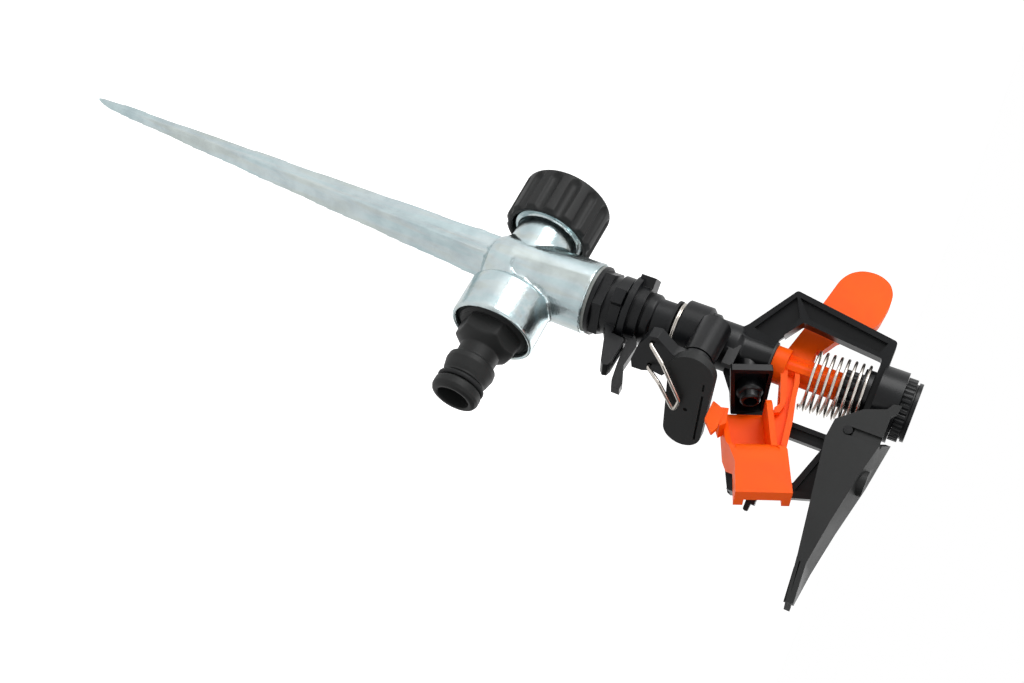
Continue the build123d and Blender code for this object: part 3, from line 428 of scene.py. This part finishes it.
def divided(line: np.ndarray, step: float, closed: bool = False) -> np.ndarray:
    """Divides each run of a line into equal parts of a step or a little more.

    Args:
        line: Points of the line.
        step: Length of a part.
        closed: Whether the line is a ring.

    Returns:
        The line with the points between.
    """
    rows = []
    for a, b in zip(line, np.roll(line, -1, axis=0) if closed else line[1:]):
        count = max(1, int(np.linalg.norm(b - a) / step))
        rows.append(a + (b - a) * np.linspace(0, 1, count, endpoint=False)[:, None])
    if not closed:
        rows.append(line[-1:])
    return np.concatenate(rows)


def soft_min(a: np.ndarray, b: np.ndarray, width: float) -> np.ndarray:
    """Lesser of two arrays, blended where they differ by less than a width.

    Args:
        a: First array.
        b: Second array.
        width: Width of the blend.

    Returns:
        min(a, b) - h * h * width / 4, where h falls from 1 to 0 as the difference grows to the width.
    """
    h = np.maximum(width - np.abs(a - b), 0) / width
    return np.minimum(a, b) - h * h * width / 4


def turned(name: str, profile: np.ndarray, material: bpy.types.Material, axis: Axis, height: float,
           limit: Callable[[np.ndarray, np.ndarray], np.ndarray], segments: int,
           blend: float) -> bpy.types.Object:
    """Surface turned from a closed profile, with its radius held under an angular limit.

    A point at distance x and angle t is at radius soft_min(profile radius, limit(x, t)).

    Args:
        name: The piece's name.
        profile: Closed profile of (distance, radius) points.
        material: Its finish.
        axis: Where the axis points.
        height: Height of the axis above the origin.
        limit: Function of distance and angle that gives the largest radius there.
        segments: Points round the axis.
        blend: Width over which the limit's edges are rounded.

    Returns:
        The new object.
    """
    angle = np.linspace(0, 2 * np.pi, segments, endpoint=False)
    radius = np.repeat(profile[:, 1:2], segments, axis=1)
    radius = np.maximum(soft_min(radius, limit(profile[:, 0:1], angle[None, :]), blend), 0)
    along = profile[:, 0] if axis is Axis.INLET else -profile[:, 0]
    far = np.broadcast_to(along[:, None], radius.shape)
    grid = np.stack([far, radius * np.cos(angle), radius * np.sin(angle) + height], axis=-1)
    return mesh_object(name, grid.reshape(-1, 3), grid_faces(len(profile), segments, True, True), material)


def tube(name: str, path: np.ndarray, radius: float, material: bpy.types.Material,
         sides: int = 16) -> bpy.types.Object:
    """Round wire along a path, with rounded ends.

    The section is carried along by turning it each step as the tangent turns, without twist. At
    each end the radius falls as a quarter circle over one radius of length.

    Args:
        name: The piece's name.
        path: Points of the wire's centre line.
        radius: The wire's radius.
        material: Its finish.
        sides: Points round the wire.

    Returns:
        The new object.
    """
    tangent = np.gradient(path, axis=0)
    tangent /= np.linalg.norm(tangent, axis=1, keepdims=True)
    side = np.empty_like(path)
    off_the_wire = Vector((0.3, 0.2, 0.9))
    across = off_the_wire.cross(Vector(tangent[0])).normalized()
    for n, direction in enumerate(tangent):
        across = (across - Vector(direction) * across.dot(Vector(direction))).normalized()
        side[n] = across
    other = np.cross(tangent, side)
    run = np.concatenate([[0], np.cumsum(np.linalg.norm(np.diff(path, axis=0), axis=1))])
    from_end = np.minimum(run, run[-1] - run)
    share = np.clip(from_end / radius, 0, 1)
    size = radius * np.sqrt(np.clip(1 - (1 - share) ** 2, 0, 1))
    angle = np.linspace(0, 2 * np.pi, sides, endpoint=False)
    ring = np.cos(angle)[None, :, None] * side[:, None] + np.sin(angle)[None, :, None] * other[:, None]
    grid = path[:, None] + ring * size[:, None, None]
    return mesh_object(name, grid.reshape(-1, 3), grid_faces(len(path), sides, False, True), material)


def end_steps(count: int, ends: int = 6) -> np.ndarray:
    """Shares from 0 to 1 along a wire, closer together at both ends where it is rounded.

    Args:
        count: Number of even steps.
        ends: Extra points at each end.

    Returns:
        The shares in order.
    """
    fine = (1 - np.cos(np.linspace(0, np.pi / 2, ends))) / count
    return np.unique(np.concatenate([fine, np.linspace(0, 1, count + 1), 1 - fine]))


def apply_modifiers(made: bpy.types.Object) -> None:
    """Writes an object's modifiers into its mesh.

    Args:
        made: The object.
    """
    bpy.context.view_layer.update()
    result = bpy.data.meshes.new_from_object(made.evaluated_get(bpy.context.evaluated_depsgraph_get()))
    made.modifiers.clear()
    made.data = result


@dataclass
class Bench:
    """The frame's nodes and the finishes, and the two ways in which a node is dressed."""

    nodes: dict[str, bpy.types.Object]
    finishes: Finishes
    weld: float = 0.002
    flat_angle: float = 0.6
    sharp: float = 40.0
    edge_steps: int = 2
    skin_passes: int = 3
    skin_pull: float = 0.5

    def softened(self, node: str, material: bpy.types.Material, edges: Edges, width: float,
                 shape: Callable[[bpy.types.Object], None] | None = None) -> bpy.types.Object:
        """Takes a copy of a frame node, rounds its edges and lets it stand for the node.

        Args:
            node: The frame node.
            material: Its finish.
            edges: How the edges are softened.
            width: Width of the rounding, or of a cast skin's mesh.
            shape: Function that works on the copy before its edges are softened, or None.

        Returns:
            The new object, riding on the node's body.
        """
        source = self.nodes[node]
        mesh = bpy.data.meshes.new(node + "_shown")
        work = bmesh.new()
        work.from_mesh(source.data)
        bmesh.ops.remove_doubles(work, verts=work.verts, dist=self.weld * MM)
        bmesh.ops.dissolve_degenerate(work, edges=work.edges, dist=self.weld * MM)
        if edges is Edges.MOULDED:
            bmesh.ops.dissolve_limit(work, angle_limit=math.radians(self.flat_angle), verts=work.verts,
                                     edges=work.edges)
        work.to_mesh(mesh)
        work.free()
        mesh.materials.clear()
        mesh.materials.append(material)
        made = bpy.data.objects.new(node + "_shown", mesh)
        bpy.context.scene.collection.objects.link(made)
        if shape is not None:
            shape(made)
        if edges is Edges.CAST:
            self.cast(made, width)
        else:
            self.mould(made, width)
        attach(made, source["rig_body"])
        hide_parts(node)
        return made

    def cast(self, made: bpy.types.Object, width: float) -> None:
        """Gives a piece one even skin, smoothed as a die-cast surface is.

        Args:
            made: The piece.
            width: Size of the skin's faces.
        """
        remesh = made.modifiers.new("skin", "REMESH")
        remesh.mode = "VOXEL"
        remesh.voxel_size = width * MM
        smooth = made.modifiers.new("fillet", "SMOOTH")
        smooth.factor = self.skin_pull
        smooth.iterations = self.skin_passes
        apply_modifiers(made)
        made.data.shade_smooth()

    def mould(self, made: bpy.types.Object, width: float) -> None:
        """Rounds a piece's edges as a mould does, and keeps its flat faces flat to the eye.

        Args:
            made: The piece.
            width: Width of the rounding.
        """
        bevel = made.modifiers.new("edge", "BEVEL")
        bevel.width = width * MM
        bevel.segments = self.edge_steps
        bevel.limit_method = "ANGLE"
        bevel.angle_limit = math.radians(self.sharp)
        bevel.use_clamp_overlap = True
        bevel.miter_outer = "MITER_ARC"
        bevel.harden_normals = False
        apply_modifiers(made)
        made.data.shade_smooth()
        made.data.set_sharp_from_angle(angle=math.radians(self.sharp))
        flat = made.modifiers.new("flat", "WEIGHTED_NORMAL")
        flat.keep_sharp = True
        apply_modifiers(made)

    def keep(self, node: str, material: bpy.types.Material) -> bpy.types.Object:
        """Shows a frame node as it is, with its own finish.

        Args:
            node: The frame node.
            material: Its finish.

        Returns:
            The node's object.
        """
        shown = self.nodes[node]
        shown.data.materials.clear()
        shown.data.materials.append(material)
        return shown


# Sub-assemblies


@dataclass
class Casting:
    """Spike, riser, inlet collar and through port, one zinc casting."""

    skin: float = 0.465

    def build(self, bench: Bench) -> list[bpy.types.Object]:
        """Makes the cast skin, with the fillets that a die leaves.

        Args:
            bench: The frame's nodes and the finishes.

        Returns:
            The pieces.
        """
        casting = bench.softened("spike_base", bench.finishes.zinc, Edges.CAST, self.skin)
        return [casting, bench.keep("riser_washer", bench.finishes.fibre)]


@dataclass
class EndCap:
    """Fluted screw cap on the through port."""

    port_z: float = 15.0
    rim: float = 16.4
    length: float = 17.6
    radius: float = 16.4
    crown: float = 0.2
    taper: float = 0.4
    skirt: float = 1.2
    lead: float = 1.6
    bore: float = 13.5
    wall: float = 2.4
    corner: float = 0.9
    step: float = 0.7
    segments: int = 320
    flutes: int = 14
    flute_radius: float = 2.35
    flute_out: float = 0.8
    flute_angle: float = 162.0
    flute_stop: float = 3.4
    flute_blend: float = 0.5
    no_flute: float = 2.0

    def flute(self, along: np.ndarray, angle: np.ndarray) -> np.ndarray:
        """Largest radius left by the grip flutes.

        A flute is a cylinder of radius f beside the axis at distance d, ending in a sphere. At an
        angle t from its middle the surface is at d cos t - sqrt(f2 - d2 sin2 t).

        Args:
            along: Distance along the cap's axis.
            angle: Angle round it.

        Returns:
            The limit on the radius.
        """
        pitch = 2 * np.pi / self.flutes
        centre = self.radius + self.flute_out
        turn = (angle - math.radians(self.flute_angle) + pitch / 2) % pitch - pitch / 2
        past = np.maximum(along - (self.rim + self.length - self.flute_stop), 0)
        size2 = np.maximum(self.flute_radius**2 - past**2, 0)
        inside = size2 - (centre * np.sin(turn)) ** 2
        cut = centre * np.cos(turn) - np.sqrt(np.maximum(inside, 0))
        return np.where(inside > 0, cut, self.radius + self.no_flute)

    def build(self, bench: Bench) -> list[bpy.types.Object]:
        """Makes the cap as a turned cup with flutes.

        Args:
            bench: The frame's nodes and the finishes.

        Returns:
            The pieces.
        """
        end = self.rim + self.length
        side = self.radius - self.taper
        corners = [(end, 0.0), (end, self.radius - self.crown), (self.rim + self.skirt, side),
                   (self.rim, self.radius - self.lead), (self.rim, self.bore), (end - self.wall, self.bore),
                   (end - self.wall, 0.0)]
        profile = divided(rounded(corners, self.corner), self.step)
        cap = turned("end_cap_fluted", profile, bench.finishes.matt, Axis.CAP, self.port_z, self.flute,
                     self.segments, self.flute_blend)
        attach(cap, "cap")
        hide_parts("end_cap")
        return [cap, bench.keep("end_cap_washer", bench.finishes.rubber)]


@dataclass
class HoseNipple:
    """Quick-connect nipple in the inlet collar."""

    port_z: float = 15.0
    bore: float = 5.5
    root: float = 14.4
    root_radius: float = 13.35
    collar: float = 26.0
    sunk: float = 0.4
    hexagon: float = 19.0
    hexagon_length: float = 8.4
    hexagon_edge: float = 0.2
    no_flat: float = 40.0
    neck: float = 6.9
    neck_waist: float = 0.2
    barb: float = 8.3
    groove: float = 6.3
    lip: float = 8.2
    tip: float = 53.0
    corner: float = 0.5
    corner_steps: int = 3
    step: float = 0.6
    segments: int = 180
    flat_blend: float = 0.35
    # Flange under the hexagon: distance back from the collar's face, and less than the root's radius
    flange: tuple[Pair, ...] = ((1.6, 0.0), (1.2, 1.0), (0.6, 1.4), (0.0, 2.6))
    # Hexagon's two shoulders: distance from the collar's face or back from its own end, and radius
    shoulders: tuple[Pair, Pair] = ((0.5, 11.2), (3.2, 10.6))
    waist: float = 38.4
    # Barb: distance along, and less than the barb's radius
    barbs: tuple[Pair, ...] = ((39.2, 0.0), (41.2, -0.2), (44.2, 0.5), (45.4, 1.0), (46.2, 1.0))
    groove_span: Pair = (46.2, 48.6)
    # Lip past the O-ring: distance along, and less than the lip's radius
    lips: tuple[Pair, ...] = ((48.6, 0.5), (49.2, 0.0))
    # Rounded tip: distance back from the tip, and less than the lip's radius
    nose: tuple[Pair, ...] = ((1.6, 0.0), (0.5, 0.6), (0.0, 1.7))

    def flats(self, along: np.ndarray, angle: np.ndarray) -> np.ndarray:
        """Largest radius left by the hexagon: half across flats over the cosine from the nearest flat.

        Args:
            along: Distance along the nipple's axis.
            angle: Angle round it.

        Returns:
            The limit on the radius.
        """
        turn = (angle + np.pi / 6) % (np.pi / 3) - np.pi / 6
        flat = self.hexagon / 2 / np.cos(turn)
        start = self.collar - self.hexagon_edge
        end = self.collar + self.hexagon_length + self.hexagon_edge
        return np.where((along > start) & (along < end), flat, self.no_flat)

    def build(self, bench: Bench) -> list[bpy.types.Object]:
        """Makes the nipple as one turned surface with a hexagon.

        Args:
            bench: The frame's nodes and the finishes.

        Returns:
            The pieces.
        """
        face = self.collar - self.sunk
        end = face + self.hexagon_length
        (out, wide), (back, narrow) = self.shoulders
        corners = [(self.root, self.bore), (self.root, self.root_radius)]
        corners += [(face - x, self.root_radius - r) for x, r in self.flange]
        corners += [(face + out, wide), (end - back, narrow), (end, self.neck)]
        corners += [(self.waist, self.neck - self.neck_waist)]
        corners += [(x, self.barb - r) for x, r in self.barbs]
        corners += [(x, self.groove) for x in self.groove_span]
        corners += [(x, self.lip - r) for x, r in self.lips]
        corners += [(self.tip - x, self.lip - r) for x, r in self.nose]
        corners += [(self.tip, self.bore)]
        line = rounded(corners, self.corner, self.corner_steps, closed=True)
        profile = divided(line, self.step, closed=True)
        nipple = turned("hose_nipple_moulded", profile, bench.finishes.matt, Axis.INLET, self.port_z,
                        self.flats, self.segments, self.flat_blend)
        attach(nipple, "base")
        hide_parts("inlet_nipple")
        rubber = bench.finishes.rubber
        gasket = bench.keep("nipple_gasket", rubber)
        o_ring = bench.keep("nipple_o_ring", rubber)
        return [nipple, gasket, o_ring]


@dataclass
class Bearing:
    """Bearing nut, trip collars, sleeve, seal and spring between the tee and the head."""

    edge: float = 0.22
    seal_top: float = 69.25
    base: float = 71.4
    coil_radius: float = 8.35
    wire: float = 0.45
    clear: float = 0.02
    turns: float = 2.0
    steps: int = 240

    def coil(self) -> np.ndarray:
        """Centre line of the spring: a helix that rises evenly between the seal and the head.

        Returns:
            The points of the line.
        """
        low = self.seal_top + self.wire + self.clear
        high = self.base - self.wire - self.clear
        t = end_steps(self.steps)
        turn = 2 * np.pi * self.turns * t
        return np.stack([self.coil_radius * np.cos(turn), self.coil_radius * np.sin(turn),
                         low + (high - low) * t], axis=1)

    def build(self, bench: Bench) -> list[bpy.types.Object]:
        """Softens the moulded rings and winds the bearing spring.

        Args:
            bench: The frame's nodes and the finishes.

        Returns:
            The pieces.
        """
        satin = bench.finishes.satin
        pieces = []
        for node in ("bearing_nut", "bearing_sleeve", "lower_trip_collar", "upper_trip_collar"):
            ring = bench.softened(node, satin, Edges.MOULDED, self.edge)
            pieces.append(ring)
        pieces.append(bench.keep("sand_seal", bench.finishes.rubber))
        pieces.append(bench.keep("spindle_tube", satin))
        pieces.append(bench.keep("bearing_washers", bench.finishes.washer))
        spring = tube("bearing_spring_wire", self.coil(), self.wire, bench.finishes.steel)
        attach(spring, "head")
        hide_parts("bearing_spring")
        return pieces + [spring]


@dataclass
class Head:
    """Moulded head with its bridge, nozzle, shaft and spring seat."""

    body_edge: float = 0.25
    small_edge: float = 0.15

    def build(self, bench: Bench) -> list[bpy.types.Object]:
        """Softens the head's mouldings.

        Args:
            bench: The frame's nodes and the finishes.

        Returns:
            The pieces.
        """
        edges = {"head_body": self.body_edge, "nozzle": self.small_edge, "spring_seat": self.small_edge}
        pieces = []
        for node, edge in edges.items():
            moulding = bench.softened(node, bench.finishes.satin, Edges.MOULDED, edge)
            pieces.append(moulding)
        pieces.append(bench.keep("arm_shaft", bench.finishes.steel))
        pieces.append(bench.keep("arm_washer", bench.finishes.washer))
        return pieces


@dataclass
class ImpulseArm:
    """Orange arm and its return spring."""

    edge: float = 0.25
    azimuth: float = -6.0
    paddle_from: float = -24.0
    paddle_round: float = 3.6
    paddle_steps: int = 6
    square: float = 0.99
    spring_radius: float = 9.55
    wire: float = 0.5
    low: float = 114.9
    high: float = 132.8
    turns: float = 8.5
    steps: int = 620
    dead: float = 0.55
    lean: float = 3.0
    lean_azimuth: float = 33.0
    offset: float = 0.25

    def round_paddle(self, made: bpy.types.Object) -> None:
        """Rounds the corners of the counterweight's outline, which are short edges across its plate.

        Args:
            made: The arm, with its edges still sharp.
        """
        turn = math.radians(self.azimuth)
        out = Vector((math.cos(turn), math.sin(turn), 0))
        across = Vector((-out.y, out.x, 0))
        work = bmesh.new()
        work.from_mesh(made.data)
        corners = []
        for edge in work.edges:
            run = edge.verts[1].co - edge.verts[0].co
            middle = (edge.verts[0].co + edge.verts[1].co) / 2
            if middle.dot(out) < self.paddle_from * MM and abs(run.normalized().dot(across)) > self.square:
                corners.append(edge)
        bmesh.ops.bevel(work, geom=corners, offset=self.paddle_round * MM, segments=self.paddle_steps,
                        profile=0.5, affect="EDGES", clamp_overlap=True)
        work.to_mesh(made.data)
        work.free()

    def spring_path(self) -> np.ndarray:
        """Centre line of the spring: a helix with dead end turns, leaning from its upper end.

        The height is level over the dead turns and rises evenly between them.

        Returns:
            The points of the line.
        """
        t = end_steps(self.steps)
        turn = 2 * np.pi * self.turns * t
        flat = self.dead / self.turns
        rise = np.clip((t - flat / 2) / (1 - flat), 0, 1)
        z = self.low + (self.high - self.low) * rise
        lean_to = math.radians(self.lean_azimuth)
        away = np.array([math.cos(lean_to), math.sin(lean_to)])
        shift = (self.high - z) * math.tan(math.radians(self.lean)) + self.offset
        level = self.spring_radius * np.stack([np.cos(turn), np.sin(turn)], axis=1) + shift[:, None] * away
        return np.column_stack([level, z])

    def build(self, bench: Bench) -> list[bpy.types.Object]:
        """Softens the arm's moulding and winds its spring.

        Args:
            bench: The frame's nodes and the finishes.

        Returns:
            The pieces.
        """
        arm = bench.softened("swing_arm", bench.finishes.orange, Edges.MOULDED, self.edge, self.round_paddle)
        spring = tube("arm_spring_wire", self.spring_path(), self.wire, bench.finishes.steel)
        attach(spring, "arm")
        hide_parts("arm_spring")
        return [arm, spring]


@dataclass
class FlapAndKnob:
    """Deflector flap and the knob that sets it."""

    flap_edge: float = 0.2
    knob_edge: float = 0.12
    azimuth: float = 8.0
    near: float = 13.0
    thick: float = 1.6
    pin_x: float = 17.8
    pin_z: float = 132.1
    pin_clear: float = 1.7
    slot: float = 1.4
    top: float = 142.05
    web_near: float = 0.7
    web_far: float = 0.1

    def web(self) -> np.ndarray:
        """Corners of the thin web that closes the pin's channel behind the near cheek's face.

        Returns:
            Eight corners, the near face first.
        """
        turn = math.radians(self.azimuth)
        out = np.array([math.cos(turn), math.sin(turn), 0.0])
        toward = np.array([math.sin(turn), -math.cos(turn), 0.0])
        low = self.pin_z + self.pin_clear
        left = self.pin_x - self.slot
        right = self.pin_x + self.slot
        corners = []
        for depth in (self.near - self.web_near, self.near - self.thick + self.web_far):
            for x, z in ((left, low), (right, low), (right, self.top), (left, self.top)):
                corners.append(out * x + toward * depth + np.array([0.0, 0.0, z]))
        return np.array(corners)

    def build(self, bench: Bench) -> list[bpy.types.Object]:
        """Softens both mouldings and closes the pin's channel from behind.

        Args:
            bench: The frame's nodes and the finishes.

        Returns:
            The pieces.
        """
        finishes = bench.finishes
        flap = bench.softened("deflector_flap", finishes.matt, Edges.MOULDED, self.flap_edge)
        knob = bench.softened("adjusting_knob", finishes.satin, Edges.MOULDED, self.knob_edge)
        pin = bench.keep("flap_pin", finishes.satin)
        faces = np.array([(0, 1, 2, 3), (4, 5, 6, 7), (0, 1, 5, 4), (1, 2, 6, 5), (2, 3, 7, 6), (3, 0, 4, 7)])
        web = mesh_object("flap_pin_web", self.web(), faces, finishes.matt)
        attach(web, "flap")
        return [flap, knob, pin, web]


@dataclass
class ReversingGear:
    """Pawl, trip lever and the wire loop that joins them."""

    pawl_edge: float = 0.3
    lever_edge: float = 0.2
    azimuth: float = -14.0
    held: float = 25.3
    front: float = 29.85
    wire: float = 0.65
    bend: float = 1.0
    bend_steps: int = 8
    into: float = 2.0
    out: float = 1.2
    legs: tuple[Pair, Pair] = ((-15.6, 69.9), (-6.0, 70.0))
    bends: tuple[Pair, ...] = ((-12.8, 75.4), (-0.4, 82.3), (4.9, 81.2), (-4.6, 75.2))

    def loop(self) -> np.ndarray:
        """Centre line of the wire: out of the clip, along the pawl's face, round its bend and back.

        Returns:
            The points of the line.
        """
        start, end = self.legs
        corners = [(*start, self.held - self.into), (*start, self.held + self.out)]
        corners += [(x, z, self.front) for x, z in self.bends]
        corners += [(*end, self.held + self.out), (*end, self.held - self.into)]
        line = rounded(corners, self.bend, self.bend_steps)
        side = math.radians(self.azimuth + 90)
        away = math.radians(self.azimuth)
        x = line[:, 0] * math.cos(side) + line[:, 2] * math.cos(away)
        y = line[:, 0] * math.sin(side) + line[:, 2] * math.sin(away)
        return np.stack([x, y, line[:, 1]], axis=1)

    def build(self, bench: Bench) -> list[bpy.types.Object]:
        """Softens the mouldings and bends the wire.

        Args:
            bench: The frame's nodes and the finishes.

        Returns:
            The pieces.
        """
        pawl = bench.softened("reversing_pawl", bench.finishes.matt, Edges.MOULDED, self.pawl_edge)
        lever = bench.softened("trip_lever", bench.finishes.satin, Edges.MOULDED, self.lever_edge)
        loop = tube("trip_wire_loop", self.loop(), self.wire, bench.finishes.steel)
        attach(loop, "lever")
        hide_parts("trip_wire")
        return [pawl, lever, loop]


# Studio


@dataclass(frozen=True)
class Lamp:
    """One square soft lamp that faces the middle of the sprinkler. Its place and side are in metres."""

    name: str
    place: Triple
    side: float
    watts: float

    def hang(self) -> None:
        """Puts the lamp in the scene."""
        data = bpy.data.lights.new(self.name, "AREA")
        data.shape = "SQUARE"
        data.size = self.side
        data.energy = self.watts
        made = bpy.data.objects.new(self.name, data)
        bpy.context.scene.collection.objects.link(made)
        made.location = self.place
        made.rotation_euler = Vector(self.place).to_track_quat("Z", "Y").to_euler()


@dataclass
class Studio:
    """Camera at the photograph's angle, soft lamps and a pale floor."""

    place: Triple = (211.9, -342.7, 145.8)
    azimuth: float = 28.47
    elevation: float = 17.5
    roll: float = 110.76
    sensor: float = 36.0
    focal_pixels: float = 1250.0
    clip: Pair = (10.0, 100000.0)
    floor_z: float = -176.0
    floor_size: float = 30000.0
    floor_colour: str = "#F4F4F4"
    floor_roughness: float = 0.9
    floor_lift: float = 0.66
    floor_shine: float = 0.25
    fill: float = 0.45
    dim: float = 0.13
    bright_side: Triple = (-0.72, -0.62, 0.30)
    shade_span: Pair = (-0.6, 0.45)
    lamps: tuple[Lamp, ...] = (
        Lamp("key_soft", (-0.70, -0.90, 0.30), 0.7, 7.5),
        Lamp("side_soft", (0.95, -0.75, 0.45), 0.6, 1.6),
        Lamp("back_soft", (-0.20, 1.05, 0.55), 0.9, 4.0),
        Lamp("top_soft", (0.10, -0.10, 1.25), 0.8, 2.5),
    )

    def camera(self) -> None:
        """Places the camera: turned to its azimuth and elevation, then rolled about its own axis."""
        data = bpy.data.cameras.new("camera")
        data.sensor_width = self.sensor
        data.lens = self.focal_pixels / PHOTO_WIDTH * self.sensor
        data.clip_start = self.clip[0] * MM
        data.clip_end = self.clip[1] * MM
        made = bpy.data.objects.new("camera", data)
        bpy.context.scene.collection.objects.link(made)
        turn = (Matrix.Rotation(math.radians(self.azimuth), 4, "Z")
                @ Matrix.Rotation(math.radians(90 - self.elevation), 4, "X")
                @ Matrix.Rotation(math.radians(self.roll), 4, "Z"))
        made.matrix_world = Matrix.Translation(Vector(self.place) * MM) @ turn
        bpy.context.scene.camera = made

    def surroundings(self) -> None:
        """Makes the white surroundings: full white to the eye, lower on the object, shaded in mirrors.

        Polished metal sees them fall from white on the bright side to dim on the other, as a room does.
        """
        world = bpy.data.worlds.new("studio")
        bpy.context.scene.world = world
        world.use_nodes = True
        tree = world.node_tree
        paths = add(tree, "ShaderNodeLightPath", {})
        seen = add(tree, "ShaderNodeMath", {0: paths.outputs["Is Camera Ray"],
                                            1: paths.outputs["Is Glossy Ray"]}, operation="MAXIMUM")
        seen = add(tree, "ShaderNodeMath", {0: seen.outputs[0], 1: paths.outputs["Is Transmission Ray"]},
                   operation="MAXIMUM")
        lit = add(tree, "ShaderNodeMapRange", {"Value": seen.outputs[0], "To Min": self.fill, "To Max": 1.0})
        coords = add(tree, "ShaderNodeTexCoord", {})
        toward = add(tree, "ShaderNodeVectorMath", {0: coords.outputs["Generated"], 1: self.bright_side},
                     operation="DOT_PRODUCT")
        low, high = self.shade_span
        shade = add(tree, "ShaderNodeMapRange", {"Value": toward.outputs["Value"], "From Min": low,
                                                 "From Max": high, "To Min": self.dim, "To Max": 1.0},
                    interpolation_type="SMOOTHSTEP")
        mirrored = add(tree, "ShaderNodeMix", {"Factor": paths.outputs["Is Glossy Ray"], "A": 1.0,
                                               "B": shade.outputs[0]}, data_type="FLOAT")
        strength = add(tree, "ShaderNodeMath", {0: lit.outputs[0], 1: mirrored.outputs["Result"]},
                       operation="MULTIPLY")
        back = tree.nodes["Background"]
        back.inputs["Color"].default_value = (1, 1, 1, 1)
        tree.links.new(strength.outputs[0], back.inputs["Strength"])

    def floor(self) -> None:
        """Lays a white floor that stays white to the eye and still takes the sprinkler's shadow."""
        half = self.floor_size / 2
        points = np.array([(-half, -half, self.floor_z), (half, -half, self.floor_z),
                           (half, half, self.floor_z), (-half, half, self.floor_z)])
        material = bpy.data.materials.new("floor_white")
        material.use_nodes = True
        tree = material.node_tree
        shader = tree.nodes["Principled BSDF"]
        shader.inputs["Base Color"].default_value = linear(self.floor_colour)
        shader.inputs["Roughness"].default_value = self.floor_roughness
        paths = add(tree, "ShaderNodeLightPath", {})
        seen = add(tree, "ShaderNodeMath", {0: paths.outputs["Is Glossy Ray"], 1: self.floor_shine,
                                            2: paths.outputs["Is Camera Ray"]}, operation="MULTIPLY_ADD")
        lift = add(tree, "ShaderNodeMath", {0: seen.outputs[0], 1: self.floor_lift}, operation="MULTIPLY")
        glow = add(tree, "ShaderNodeEmission", {"Color": (1, 1, 1, 1), "Strength": lift.outputs[0]})
        both = add(tree, "ShaderNodeAddShader", {0: shader.outputs[0], 1: glow.outputs[0]})
        tree.links.new(both.outputs[0], tree.nodes["Material Output"].inputs["Surface"])
        made = mesh_object("floor", points, np.array([[0, 1, 2, 3]]), material)

    def build(self) -> None:
        """Sets up the whole studio."""
        bpy.context.scene.view_settings.view_transform = "Standard"
        self.camera()
        self.surroundings()
        self.floor()
        for lamp in self.lamps:
            lamp.hang()


def main(nodes: dict[str, bpy.types.Object]) -> None:
    """Builds the studio and each sub-assembly in order, and reports each piece.

    Args:
        nodes: The frame's nodes by name.
    """
    logging.basicConfig(level=logging.INFO, format="%(message)s")
    Studio().build()
    bench = Bench(nodes, Finishes())
    for assembly in (Casting(), EndCap(), HoseNipple(), Bearing(), Head(), ImpulseArm(), FlapAndKnob(),
                     ReversingGear()):
        for piece in assembly.build(bench):
            log.info("%s: %s", type(assembly).__name__, piece.name)


if __name__ == "__main__":
    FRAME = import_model()
    main(FRAME["nodes"])
